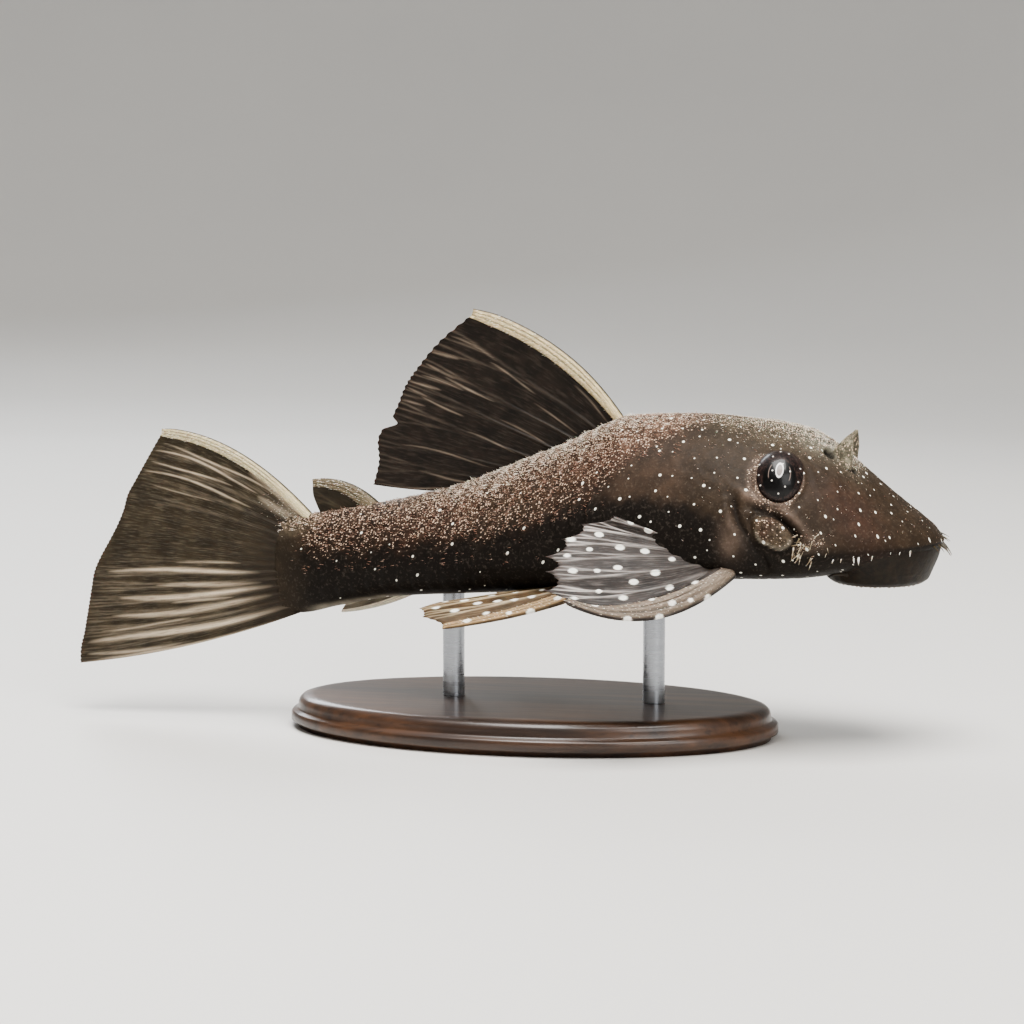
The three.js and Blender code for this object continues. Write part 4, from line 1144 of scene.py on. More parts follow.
def fan_mesh(name, fan, half, s, t, gone, controls, values):
    face = unit(np.cross(np.gradient(fan, axis=0), np.gradient(fan, axis=1)))
    wide, tall = s.shape
    length = np.linalg.norm(controls[:, 2] - controls[:, 0], axis=1).mean()
    sides = [fan + face * half[..., None], fan - face * half[..., None]]
    points = np.concatenate([p.reshape(-1, 3) for p in sides])
    one = np.arange(wide * tall).reshape(wide, tall)
    two = one + wide * tall
    quads = [np.stack([one[:-1, :-1], one[1:, :-1], one[1:, 1:], one[:-1, 1:]], -1).reshape(-1, 4)]
    quads.append(np.stack([two[:-1, :-1], two[:-1, 1:], two[1:, 1:], two[1:, :-1]], -1).reshape(-1, 4))
    for row in (0, -1):
        quads.append(np.stack([one[:-1, row], two[:-1, row], two[1:, row], one[1:, row]], -1))
    for column in (0, -1):
        quads.append(np.stack([one[column, :-1], one[column, 1:], two[column, 1:], two[column, :-1]], -1))
    piece = mesh_piece(name, points, np.concatenate(quads))
    faces_out(piece, close=False)
    for label, painted_values in values.items():
        set_value(piece, label, on_both_faces(painted_values))
    outward_mm = on_both_faces(t * length)
    other_face = np.repeat([0.0, BAKE_SPAN / 2], s.size)
    along_mm = on_both_faces(gone) + other_face + MAP_MARGIN
    places = np.stack([along_mm, outward_mm + MAP_MARGIN, np.zeros(len(outward_mm))], 1)
    set_direction(piece, "Place", places)
    set_map(piece, "FinMap", on_both_faces(gone), outward_mm)
    set_map(piece, "RayMap", on_both_faces(s * RAY_ROOM), outward_mm)
    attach(piece, "root")
    print(f"{name}: {triangles_of(piece)} triangles, {length:.1f} mm long on average")
    return piece


# %% Dorsal fin
dorsal_rays = ray_lines(
    (46.2, 0, 35), (27.5, 0, 26.5),
    flat([
        ((24.7, 50.6), (2.3, 4.2)), ((20.2, 47.0), (1.2, 2.0)), ((17.0, 43.3), (0.8, 1.0)),
        ((15.2, 40.7), (0.5, 0.6)), ((13.8, 37.4), (0, 0.4)), ((11.4, 33.7), (0, 0)),
        ((11.4, 30.2), (0, -0.3)), ((10.6, 27.0), (0, -0.9)),
    ]),
)
dorsal_fin = make_fan(
    "dorsal_fin_rays", dorsal_rays, columns=38, rows=130, spine_half=0.85, spine_width=1.0,
    ray_half=0.36, ray_width=0.3, serration=0.007, notch_at=(4.45, 0.06, 0.16),
    regions=((0, 0.5), (0.12, 0.9), (0.5, 1), (0.62, 0.4), (1, 0.4)),
    lengths=((0, 0.3), (0.3, 0.22), (0.6, 0.25), (0.82, 0.8), (1, 1)),
    spine_shape=((0, 0.65), (0.45, 1.05), (0.85, 1.05), (1, 0.75)), ray_glow=0.75,
    streaks=[
        (0.5, 0.08, 0.34, 0.12, 0.8), (1.1, 0.42, 0.72, 0.13, 0.9), (0.9, 0.7, 0.98, 0.14, 0.8),
        (1.6, 0.1, 0.4, 0.12, 0.7), (2.0, 0.55, 0.85, 0.16, 1.0), (2.3, 0.72, 0.96, 0.14, 0.9),
        (2.9, 0.15, 0.45, 0.13, 0.6), (3.2, 0.62, 0.9, 0.15, 0.9), (4.0, 0.2, 0.55, 0.14, 0.6),
        (5.1, 0.25, 0.85, 0.14, 0.7), (1.3, 0.85, 1.0, 0.2, 1.0), (1.8, 0.8, 0.98, 0.18, 0.9),
        (2.6, 0.82, 1.0, 0.2, 1.0), (3.0, 0.86, 0.99, 0.15, 0.8), (3.6, 0.84, 1.0, 0.16, 0.8),
        (6.2, 0.2, 0.7, 0.16, 0.7), (6.8, 0.3, 0.95, 0.13, 0.6),
    ],
)
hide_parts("dorsal_fin")

# %% Adipose fin
adipose_rays = ray_lines(
    (10.6, 0, 23.6), (4.4, 0, 21.5),
    flat([((1.9, 27.0), (0.6, 2.2)), ((2.0, 25.2), (0, 0.8)), ((3.0, 22.8), (0, 0))]),
)
adipose_fin = make_fan(
    "adipose_fin_flap", adipose_rays, columns=40, rows=70, spine_half=0.8, spine_width=1.25,
    ray_half=0.2, ray_width=0.3, membrane_half=0.2, regions=((0, 0.5), (1, 0.3)),
)
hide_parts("adipose_fin")

# %% Tail fin
TAIL_RAYS = 16
tail_margin = smooth(
    [
        (0, -33.0), (1.4, -33.1), (4.8, -32.4), (10, -31.4), (14.4, -30.5), (17, -29.0), (19.6, -27.6),
        (21.6, -26.5), (25.5, -25.2), (27.5, -23.9), (30.1, -22.4), (34, -20.0),
    ]
)
tail_controls = []
for k in range(TAIL_RAYS):
    share = k / (TAIL_RAYS - 1)
    tip_z = 33.7 + (0.5 - 33.7) * share
    root = np.array([1.5 - 3 * math.sin(math.pi * share), 0, 22.0 + (9.4 - 22.0) * share])
    tip = np.array([float(tail_margin(tip_z)), 0, tip_z])
    bow = 4.2 * (1 - share) ** 3 - 2.4 * share**3 + (1.2 if k == 0 else 0)
    tail_controls.append((root, (root + tip) / 2 + np.array([0, 0, bow]), tip))
caudal_fin = make_fan(
    "caudal_fin_rays", np.array(tail_controls), columns=24, rows=112, spine_half=0.75, spine_width=0.75,
    ray_half=0.38, ray_width=0.3, serration=0.004, splits=(0.3, 0.62),
    regions=((0, 0.7), (0.16, 0.8), (0.27, 0.5), (0.36, 0.12), (0.5, 0.14), (0.58, 0.7), (0.66, 1), (1, 1)),
    lengths=((0, 0), (0.15, 0.12), (0.35, 0.8), (0.6, 1), (0.85, 0.7), (1, 0.35)),
    spine_shape=((0, 1.0), (0.5, 1.1), (0.9, 1.0), (1, 0.8)), ray_glow=0.3,
    streaks=[
        (0.5, -0.1, 0.4, 0.5, 0.8), (1.3, -0.1, 0.3, 0.6, 0.7), (0.7, 0.1, 0.95, 0.14, 0.8),
        (1.1, 0.3, 0.98, 0.17, 1.0), (1.7, 0.45, 0.97, 0.15, 0.8),
        (2.4, 0.3, 0.98, 0.17, 0.9), (3.1, 0.5, 0.9, 0.12, 0.5), (8.1, 0.25, 0.6, 0.2, 0.55),
        (8.9, 0.15, 0.93, 0.36, 0.95), (10.1, 0.15, 0.68, 0.34, 0.8), (10.9, 0.1, 0.86, 0.46, 1.0),
        (11.5, 0.3, 0.6, 0.2, 0.7), (12.1, 0.12, 0.88, 0.44, 0.9), (12.9, 0.5, 0.92, 0.2, 0.6),
        (13.7, 0.04, 0.97, 0.5, 1.0), (14.5, 0.55, 0.97, 0.3, 0.6), (14.97, 0.1, 1.0, 0.35, 0.7),
    ],
)
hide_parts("caudal_fin")

# %% Anal fin
anal_rays = ray_lines(
    (17.2, 0, 12.8), (12.6, 0, 15.4),
    flat([((5.9, 9.2), (0, -1.2)), ((6.8, 10.6), (0, -0.8)), ((8.4, 12.6), (0, 0))]),
)
anal_fin = make_fan(
    "anal_fin_rays", anal_rays, columns=30, rows=60, spine_half=0.45, spine_width=0.5,
    ray_half=0.32, ray_width=0.25,
)
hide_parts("anal_fin")

# %% Paired fins
PECTORAL_TIPS = [
    ((42.0, -23.0, 14.9), (1.2, -4.4, -5.4)), ((39.0, -22.0, 16.0), (1.0, -3.6, -3.2)),
    ((39.0, -20.5, 18.2), (0.6, -2.4, -1.2)), ((38.6, -18.6, 19.9), (0.2, -1.2, 0.4)),
    ((40.3, -16.6, 22.0), (0, -0.8, 0.5)), ((42.6, -14.8, 23.8), (0, -0.6, 0.4)),
    ((46.6, -14.2, 25.0), (0, -0.6, 0.2)),
]
PELVIC_TIPS = [
    ((24.4, -16.6, 10.1), (1.5, -1.8, -1.0)), ((21.4, -15.2, 11.0), (0.8, -1.4, -0.4)),
    ((20.4, -13.0, 11.8), (0.4, -0.8, 0)), ((22.0, -11.0, 12.2), (0, -0.4, 0)),
    ((24.5, -9.0, 12.3), (0, -0.2, 0)), ((27.5, -7.0, 12.4), (0, -0.1, 0)),
]
pectoral_rays = ray_lines((61.5, -12.5, 18.0), (57.5, -11.5, 20.5), PECTORAL_TIPS)
pelvic_rays = ray_lines((44.8, -8.4, 15.5), (40.5, -3.6, 14.8), PELVIC_TIPS)
paired_fins = []
for sign, which in ((-1, "right"), (1, "left")):
    mirror = np.array([1.0, -sign, 1.0])
    pectoral = make_fan(
        "pectoral_fin_rays_" + which, pectoral_rays * mirror, columns=36, rows=120, spine_half=1.05,
        spine_width=1.6, ray_half=0.4, ray_width=0.36, notch=0.075, serration=0.012,
        lengths=((0, 0.1), (0.35, 0.4), (0.6, 0.9), (1, 1)), spot_spacing=2.5,
        spine_shape=((0, 0.9), (0.4, 1.1), (1, 0.5)),
    )
    pelvic = make_fan(
        "pelvic_fin_rays_" + which, pelvic_rays * mirror, columns=34, rows=100, spine_half=0.75,
        spine_width=1.3, ray_half=0.36, ray_width=0.34, notch=0.025, serration=0.006,
        lengths=((0, 0.3), (0.4, 0.8), (1, 1)), spot_spacing=2.1,
    )
    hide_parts("pectoral_fin_" + which)
    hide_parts("pelvic_fin_" + which)
    paired_fins += [pectoral, pelvic]


# %% [markdown]
# The fins share one recipe with different colours: a smoky membrane, paler rays with joints across
# them, a bright stout spine and, on the paired fins, large pale spots drawn out along the rays.

# %% Finish of the fins
def fin_finish(name, membrane, ray, spine, root, root_reach=0.1):
    recipe = Recipe(name)
    where = recipe.place("FinMap")
    space = recipe.place()
    out_share = recipe.value("Outward")
    dark = tuple(0.45 * channel for channel in membrane[:3]) + (1.0,)
    smoke = recipe.noise(space, 300.0, 5.0, 0.6)
    colour = recipe.mix(recipe.ramp(smoke, 0.32, 0.66), dark, membrane)
    fibres = recipe.noise(recipe.place("RayMap", (7.0, 0.42, 1)), 1.0, 4.0, 0.6)
    colour = recipe.mix(recipe.ramp(fibres, 0.45, 0.75, 0.0, 0.12), colour, ray)
    bright = recipe.times(recipe.value("Bright"), recipe.ramp(fibres, 0.3, 0.55, 0.55, 1.0))
    colour = recipe.mix(bright, colour, ray)
    near_root = recipe.ramp(out_share, 0.05, 0.05 + root_reach, 0.85, 0.0)
    off_spine = recipe.ramp(recipe.value("Fan"), 0.03, 0.16)
    colour = recipe.mix(recipe.times(near_root, off_spine), colour, root)
    joints = recipe.add("ShaderNodeTexWave", wave_type="BANDS", bands_direction="Y")
    recipe.feed(joints.inputs["Vector"], where)
    joints.inputs["Scale"].default_value = 0.7
    joints.inputs["Distortion"].default_value = 0.2
    gap = recipe.times(recipe.ramp(joints.outputs["Fac"], 0.0, 0.2, 0.06, 0.0), recipe.value("Ray"))
    colour = recipe.mix(gap, colour, dark)
    lengthways = recipe.noise(recipe.place("RayMap", (4.5, 1.1, 1)), 1.0, 4.0, 0.65)
    bright_bone = tuple(min(1, 1.6 * channel) for channel in spine[:3]) + (1.0,)
    bone = recipe.mix(recipe.ramp(lengthways, 0.4, 0.62), spine, bright_bone)
    spine_share = recipe.ramp(recipe.value("Spine"), 0.25, 0.75, 0.0, 0.95)
    colour = recipe.mix(spine_share, colour, bone)
    # Painted shade in the grooves along the spine.
    colour = recipe.mix(recipe.times(recipe.value("Groove"), 0.6), colour, dark)
    colour = recipe.mix(recipe.value("Spot"), colour, rgb(246, 243, 234))
    return recipe.finish(
        Base_Color=colour, Roughness=0.5, Normal=recipe.bump(fibres, 0.5, 0.00016), Subsurface_Weight=0.1,
        Subsurface_Scale=0.0005, Coat_Weight=0.05, Coat_Roughness=0.3, Specular_IOR_Level=0.2,
    )


dark_fin_finish = fin_finish(
    "smoky_fin", living(62, 51, 42), rgb(128, 114, 100), rgb(188, 172, 136), living(48, 39, 32)
)
tail_finish = fin_finish(
    "tail_fin", living(96, 83, 62), rgb(198, 182, 160), rgb(186, 174, 140), living(76, 64, 51), root_reach=0.3
)
adipose_finish = fin_finish(
    "adipose_fin", living(92, 80, 62), rgb(104, 92, 74), rgb(104, 94, 76), living(70, 60, 48)
)
anal_finish = fin_finish(
    "anal_fin", living(180, 166, 142), rgb(206, 198, 180), rgb(206, 198, 180), living(104, 92, 76)
)
pectoral_finish = fin_finish(
    "pectoral_fin", living(88, 76, 70), rgb(212, 204, 198), rgb(112, 100, 88), living(104, 90, 80)
)
pelvic_finish = fin_finish(
    "pelvic_fin", living(150, 122, 90), rgb(214, 194, 160), rgb(150, 126, 94), living(104, 88, 70)
)
dorsal_fin.data.materials.append(dark_fin_finish)
caudal_fin.data.materials.append(tail_finish)
adipose_fin.data.materials.append(adipose_finish)
anal_fin.data.materials.append(anal_finish)
for fin in paired_fins:
    fin.data.materials.append(pectoral_finish if fin.name.startswith("pectoral") else pelvic_finish)
print("fins finished")

# %% [markdown]
# The sucker mouth is a round disc of lips under the snout, studded with soft papillae, with the mouth
# in its middle and a short barbel at each corner. The disc is a grid of rings by spokes whose height
# follows a profile, and its papillae are small bumps of that height.

# %% Sucker mouth
MOUTH_X = 80.0
MOUTH_HALF = (7.2, 8.8)
MOUTH_TOP = 20.6
LIP_EDGE_Z = 17.2
SPOKES = 200


def snout_reach(turn, level):
    """How far from the mouth's middle each spoke runs inside the snout, at a given height."""
    low, high = np.zeros(turn.shape), np.full(turn.shape, 12.0)
    for _ in range(30):
        middle = (low + high) / 2
        x, y = MOUTH_X + middle * np.cos(turn), middle * np.sin(turn)
        drop = np.clip((widest_level(x) - level) / (widest_level(x) - underside(x)), 0, 1)
        limit = half_width(x) * (1 - drop ** lower_power(x)) ** (1 / lower_power(x))
        inside = (np.abs(y) < limit) & (x < SNOUT_X)
        low, high = np.where(inside, middle, low), np.where(inside, high, middle)
    return low


lip_profile = smooth([
    (0, 17.6), (0.2, 17.3), (0.3, 16.7), (0.45, 16.3), (0.62, 15.8), (0.78, 15.5), (0.92, 16.0),
    (1.0, LIP_EDGE_Z),
])
disc_shares = np.concatenate([np.linspace(0.02, 0.9, 60), np.linspace(0.91, 1.0, 12)])
wall_shares = np.linspace(0, 1, 24)[1:]
mouth_turns = np.linspace(0, 2 * math.pi, SPOKES, endpoint=False)
share, turn = np.meshgrid(np.concatenate([disc_shares, 1 + wall_shares]), mouth_turns, indexing="ij")
climb = np.clip(share - 1, 0, 1)
edge_reach = 1 / np.hypot(np.cos(turn) / MOUTH_HALF[0], np.sin(turn) / MOUTH_HALF[1])
top_reach = 0.965 * snout_reach(turn, MOUTH_TOP)
reach = np.minimum(share, 1) * edge_reach
reach = reach + (top_reach - edge_reach) * climb**1.2 + 0.22 * np.sin(np.pi * climb) * (climb > 0)
lip_x, lip_y = MOUTH_X + reach * np.cos(turn), reach * np.sin(turn)
bumps = np.sin(lip_x * 5.2) * np.sin(lip_y * 5.2 + 0.6 * np.sin(lip_x * 2.1))
papillae = np.clip(bumps, 0, 1) * ease(share, 0.28, 0.4) * (1 - ease(share, 0.72, 0.84))
folds = 0.015 * np.sin(turn * 22 + np.sin(turn * 5)) * ease(share, 0.8, 0.95) * (1 - ease(share, 1.0, 1.3))
gape = np.exp(-(((lip_x - 81.2) / 1.1) ** 2) - (lip_y / 3.2) ** 2)
lip_z = lip_profile(np.minimum(share, 1)) - 0.26 * papillae + folds + 1.9 * gape
lip_z = lip_z + (MOUTH_TOP - LIP_EDGE_Z) * climb
lip_points = np.stack([lip_x, lip_y, lip_z], -1).reshape(-1, 3)
cell = np.arange(share.size).reshape(share.shape)
over = np.roll(cell, -1, axis=1)
lip_quads = np.stack([cell[:-1], over[:-1], over[1:], cell[1:]], -1).reshape(-1, 4)
lips = mesh_piece("sucker_mouth", lip_points, lip_quads)
faces_out(lips)
set_value(lips, "Papilla", papillae)
set_value(lips, "Gape", gape)
set_value(lips, "Under", 1 - ease(share, 0.74, 0.86))
set_value(lips, "Climb", climb)
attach(lips, "root")
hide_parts("mouth")
print(f"sucker mouth: {triangles_of(lips)} triangles")


# %% Finish of the lips
def lip_finish():
    recipe = Recipe("pleco_lips")
    grain = recipe.noise(recipe.place(), 900.0, 5.0, 0.6)
    side_colour = recipe.mix(recipe.ramp(grain, 0.35, 0.65), living(40, 31, 21), living(66, 53, 37))
    side_colour = recipe.mix(recipe.ramp(recipe.value("Climb"), 0.3, 0.9), side_colour, living(60, 49, 37))
    under_colour = recipe.mix(recipe.ramp(grain, 0.35, 0.65), living(206, 170, 138), living(230, 200, 168))
    colour = recipe.mix(recipe.value("Under"), side_colour, under_colour)
    colour = recipe.mix(recipe.times(recipe.value("Papilla"), 0.5), colour, living(240, 216, 186))
    colour = recipe.mix(recipe.ramp(recipe.value("Gape"), 0.3, 0.8), colour, rgb(70, 34, 28))
    return recipe.finish(
        Base_Color=colour, Roughness=0.55, Normal=recipe.bump(grain, 0.5, 0.00025), Subsurface_Weight=0.15,
        Subsurface_Scale=0.001, Coat_Weight=0.04, Coat_Roughness=0.3, Specular_IOR_Level=0.22,
    )


lip_material = lip_finish()
lips.data.materials.append(lip_material)
print("lips finished")


# %% [markdown]
# Small upright parts of the head, the nostril flaps and the barbels, are tubes of rings whose width and
# thickness change along a bent line. One helper makes them all. Their roots are sunk in the skin.

# %% Tapered tubes
def tube(name, line, half_wide, half_thick, wide_way, around=24, heading=None):
    line = np.asarray(line, float)
    forward = unit(np.gradient(line, axis=0)) if heading is None else np.broadcast_to(heading, line.shape)
    wide_way = np.asarray(wide_way, float)
    wide = unit(wide_way - forward * np.sum(forward * wide_way, -1, keepdims=True))
    thick = np.cross(forward, wide)
    turns = np.linspace(0, 2 * math.pi, around, endpoint=False)
    rings = (
        line[:, None]
        + wide[:, None] * (np.asarray(half_wide)[:, None] * np.cos(turns))[..., None]
        + thick[:, None] * (np.asarray(half_thick)[:, None] * np.sin(turns))[..., None]
    )
    cell = np.arange(len(line) * around).reshape(-1, around)
    over = np.roll(cell, -1, axis=1)
    quads = np.stack([cell[:-1], over[:-1], over[1:], cell[1:]], -1).reshape(-1, 4)
    piece = mesh_piece(name, rings.reshape(-1, 3), quads)
    faces_out(piece)
    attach(piece, "root")
    return piece


# %% Nostril flaps
FLAP_HEIGHT = 3.7
FLAP_SUNK = 0.8
FLAP_TURN = 0.5


def turn_on_top(x, y):
    low, high = 0.0, math.pi / 2
    for _ in range(24):
        middle = (low + high) / 2
        if skin_point(x, middle)[1] < abs(y):
            low = middle
        else:
            high = middle
    return math.copysign(low, y)


def nostril_flap(sign, name):
    foot_turn = turn_on_top(NOSTRIL_X, sign * NOSTRIL_Y)
    foot = skin_point(NOSTRIL_X, foot_turn)
    lean = unit(np.array([0.1, 0.0, 1.0]))
    share = np.linspace(0, 1, 26)
    line = foot + lean * (share * (FLAP_HEIGHT + FLAP_SUNK) - FLAP_SUNK)[:, None]
    half_wide = 1.42 * (1 - ease(share, 0.5, 1.12)) * (1 + 0.03 * np.sin(share * 17)) + 0.08
    line = line + np.array([0.62, 0, 0]) * (1.42 - half_wide)[:, None]
    half_thick = 0.34 * (1 - 0.75 * share) + 0.03
    wide_way = np.array([math.cos(FLAP_TURN), sign * math.sin(FLAP_TURN), 0])
    flap = tube(name, line, half_wide, half_thick, wide_way, heading=lean)
    count = len(flap.data.vertices)
    set_colour(flap, "Ground", np.broadcast_to(painted(255, 244, 212), (count, 3)))
    set_value(flap, "Speckle", np.full(count, 0.8))
    set_value(flap, "Dots", np.zeros(count))
    set_map(flap, "SkinMap", np.repeat(share * 4, count // 26), np.tile(np.linspace(0, 6, count // 26), 26))
    flap.data.materials.append(skin_material)
    return flap


flaps = [nostril_flap(1, "nostril_flap_left"), nostril_flap(-1, "nostril_flap_right")]
print("nostril flaps:", [triangles_of(flap) for flap in flaps], "triangles")

# %% Barbels
BARBEL_X = 77.2
BARBEL_LENGTH = 3.6
barbels = []
for sign, which in ((1, "left"), (-1, "right")):
    share = np.linspace(0, 1, 22)
    way = unit(np.array([-0.8, sign * 0.5, 0.0]))
    line = np.array([BARBEL_X, sign * (MOUTH_HALF[1] - 1.8), 17.0]) + way * (share * BARBEL_LENGTH)[:, None]
    line = line + np.array([0, 0, 0.35]) * np.sin(share * math.pi)[:, None]
    taper = 0.45 * (1 - 0.8 * share)
    barbel = tube("barbel_" + which, line, taper, taper, (0, 0, 1), around=16)
    for name in ("Papilla", "Gape", "Under", "Climb"):
        set_value(barbel, name, np.zeros(len(barbel.data.vertices)))
    barbel.data.materials.append(lip_material)
    barbels.append(barbel)
print("barbels:", [triangles_of(barbel) for barbel in barbels], "triangles")


# %% [markdown]
# Thorns, bristles and spines are one shape in many copies: a small bent cone. Geometry Nodes place them.
# The tree takes a mesh whose points or faces say where they grow, puts a cone at each place, turns it
# along a direction stored on the mesh, varies its size from a fixed seed and makes the copies real.

# %% A tree of nodes for thorns
CONE_SIDES = 5
THORN_STEPS = 1  # rows of faces along a thorn, which is too small to look bent
BRISTLE_STEPS = 6
TIP_SHARE = 0.12  # a cone's radius at its tip, against that at its root
SUNK_SHARE = 0.1  # how much of a cone's length is under the skin


def thorn_tree(name, scatter):
    tree = bpy.data.node_groups.new(name, "GeometryNodeTree")
    for label, kind, given in (
        ("Geometry", "NodeSocketGeometry", None),
        ("Spacing", "NodeSocketFloat", 0.0004),
        ("Density", "NodeSocketFloat", 4.0e6),
        ("Length", "NodeSocketFloat", 0.0005),
        ("Thickness", "NodeSocketFloat", 0.00007),
        ("Bend", "NodeSocketFloat", 0.2),
        ("Least Size", "NodeSocketFloat", 0.6),
        ("Seed", "NodeSocketInt", 7),
        ("Finish", "NodeSocketMaterial", None),
    ):
        socket = tree.interface.new_socket(label, in_out="INPUT", socket_type=kind)
        if given is not None:
            socket.default_value = given
    tree.interface.new_socket("Geometry", in_out="OUTPUT", socket_type="NodeSocketGeometry")
    add = tree.nodes.new
    join = tree.links.new
    entry, exit_node = add("NodeGroupInput"), add("NodeGroupOutput")
    given = entry.outputs

    def read(kind, attribute):
        node = add("GeometryNodeInputNamedAttribute")
        node.data_type = kind
        node.inputs["Name"].default_value = attribute
        return node.outputs["Attribute"]

    def maths(kind, first, second):
        node = add("ShaderNodeMath")
        node.operation = kind
        for socket, value in zip(node.inputs, (first, second)):
            if isinstance(value, float):
                socket.default_value = value
            else:
                join(value, socket)
        return node.outputs[0]

    if scatter:
        spread = add("GeometryNodeDistributePointsOnFaces")
        spread.distribute_method = "POISSON"
        join(given["Geometry"], spread.inputs["Mesh"])
        join(given["Spacing"], spread.inputs["Distance Min"])
        join(given["Density"], spread.inputs["Density Max"])
        join(read("FLOAT", "Thorns"), spread.inputs["Density Factor"])
        join(given["Seed"], spread.inputs["Seed"])
        places = spread.outputs["Points"]
    else:
        points = add("GeometryNodeMeshToPoints")
        join(given["Geometry"], points.inputs["Mesh"])
        places = points.outputs["Points"]

    cone = add("GeometryNodeMeshCone")
    cone.fill_type = "NGON"
    cone.inputs["Vertices"].default_value = CONE_SIDES
    cone.inputs["Side Segments"].default_value = THORN_STEPS if scatter else BRISTLE_STEPS
    join(given["Length"], cone.inputs["Depth"])
    join(given["Thickness"], cone.inputs["Radius Bottom"])
    join(maths("MULTIPLY", given["Thickness"], TIP_SHARE), cone.inputs["Radius Top"])

    place = add("GeometryNodeInputPosition")
    parts = add("ShaderNodeSeparateXYZ")
    join(place.outputs[0], parts.inputs[0])
    share = maths("DIVIDE", parts.outputs["Z"], given["Length"])
    bend = maths("MULTIPLY", maths("MULTIPLY", share, share), given["Bend"])
    offset = add("ShaderNodeCombineXYZ")
    join(maths("MULTIPLY", bend, given["Length"]), offset.inputs["X"])
    join(maths("MULTIPLY", given["Length"], -SUNK_SHARE), offset.inputs["Z"])
    bent = add("GeometryNodeSetPosition")
    join(cone.outputs["Mesh"], bent.inputs["Geometry"])
    join(offset.outputs[0], bent.inputs["Offset"])

    heading = add("FunctionNodeAlignRotationToVector")
    heading.axis = "Z"
    join(read("FLOAT_VECTOR", "Lie"), heading.inputs["Vector"])
    steady = add("FunctionNodeAlignRotationToVector")
    steady.axis = "X"
    steady.pivot_axis = "Z"
    join(heading.outputs["Rotation"], steady.inputs["Rotation"])
    join(read("FLOAT_VECTOR", "BendWay"), steady.inputs["Vector"])
    size = add("FunctionNodeRandomValue")
    size.data_type = "FLOAT"
    join(given["Least Size"], size.inputs[2])
    size.inputs[3].default_value = 1.0
    join(given["Seed"], size.inputs["Seed"])

    copies = add("GeometryNodeInstanceOnPoints")
    join(places, copies.inputs["Points"])
    join(bent.outputs["Geometry"], copies.inputs["Instance"])
    join(steady.outputs["Rotation"], copies.inputs["Rotation"])
    join(maths("MULTIPLY", size.outputs[1], read("FLOAT", "ThornSize")), copies.inputs["Scale"])
    real = add("GeometryNodeRealizeInstances")
    join(copies.outputs["Instances"], real.inputs["Geometry"])
    painted_copies = add("GeometryNodeSetMaterial")
    join(real.outputs["Geometry"], painted_copies.inputs["Geometry"])
    join(given["Finish"], painted_copies.inputs["Material"])
    join(painted_copies.outputs["Geometry"], exit_node.inputs["Geometry"])
    return tree


scatter_tree = thorn_tree("thorns_on_skin", scatter=True)
row_tree = thorn_tree("bristles_in_a_row", scatter=False)
print("trees made:", scatter_tree.name, row_tree.name)


# %% [markdown]
# Each thorn is painted on the baked map as a tiny patch at its root's place on an unwrap of the skin, so
# that a bake gives it the colour of its own place and no other.

# %% A map for baking
PATCH = 0.003  # share of the map's side that one thorn takes


def bake_map(piece, steps):
    count = len(piece.data.vertices)
    per_copy = CONE_SIDES * (steps + 1)
    assert count % per_copy == 0, "every copy has the same number of points"
    roots = np.zeros(count * 3, np.float32)
    piece.data.attributes["Place"].data.foreach_get("vector", roots)
    roots = roots.reshape(-1, 3)[:, :2] / BAKE_SPAN
    local = np.arange(count) % per_copy
    turn = local % CONE_SIDES / CONE_SIDES * 2 * math.pi
    spread = PATCH / 2 * (0.4 + 0.6 * (local // CONE_SIDES) / steps)
    spots = roots + np.stack([np.cos(turn) * spread, np.sin(turn) * spread], 1)
    for layer in list(piece.data.uv_layers):
        piece.data.uv_layers.remove(layer)
    set_map(piece, "OFBake", spots[:, 0], spots[:, 1])


# %% Run a tree and keep its result as a plain mesh
def grow(name, ground_piece, tree, finish, slot, **sizes):
    modifier = ground_piece.modifiers.new("grow", "NODES")
    modifier.node_group = tree
    sockets = {item.name: item.identifier for item in tree.interface.items_tree if item.in_out == "INPUT"}
    for label, value in sizes.items():
        modifier[sockets[label.replace("_", " ")]] = value
    modifier[sockets["Finish"]] = finish
    evaluated = ground_piece.evaluated_get(bpy.context.evaluated_depsgraph_get())
    mesh = bpy.data.meshes.new_from_object(evaluated)
    bpy.data.objects.remove(ground_piece)
    mesh.name = name
    piece = bpy.data.objects.new(name, mesh)
    bpy.context.scene.collection.objects.link(piece)
    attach(piece, "root")
    bake_map(piece, THORN_STEPS if tree == scatter_tree else BRISTLE_STEPS)
    print(f"{name}: {triangles_of(piece)} triangles")


# %% Where thorns grow on the skin, and which way they lie
def skin_patch(name, thorns, lie, sizes, glow):
    patch = mesh_piece(name, skin_points.reshape(-1, 3), quads)
    set_value(patch, "Thorns", thorns)
    set_direction(patch, "Lie", lie.reshape(-1, 3))
    set_direction(patch, "BendWay", np.broadcast_to([-1.0, 0.0, -0.2], bare.shape).reshape(-1, 3))
    set_value(patch, "ThornSize", sizes)
    set_value(patch, "Glow", glow)
    along = np.broadcast_to(along_back[:, None], down.shape)
    places = np.stack([along, side * down + MAP_MIDDLE, np.zeros(down.shape)], -1)
    set_direction(patch, "Place", places.reshape(-1, 3))
    return patch


scatter_draw = np.random.default_rng(3)
lie_back = outward * 0.55 + np.array([-0.8, 0.0, 0.0]) + scatter_draw.normal(0, 0.75, outward.shape)
out_of_skin = np.sum(unit(lie_back) * outward, -1, keepdims=True)
lie_back = unit(lie_back + outward * np.maximum(0, 0.35 - out_of_skin))
print("directions drawn for", down.size, "places on the skin")


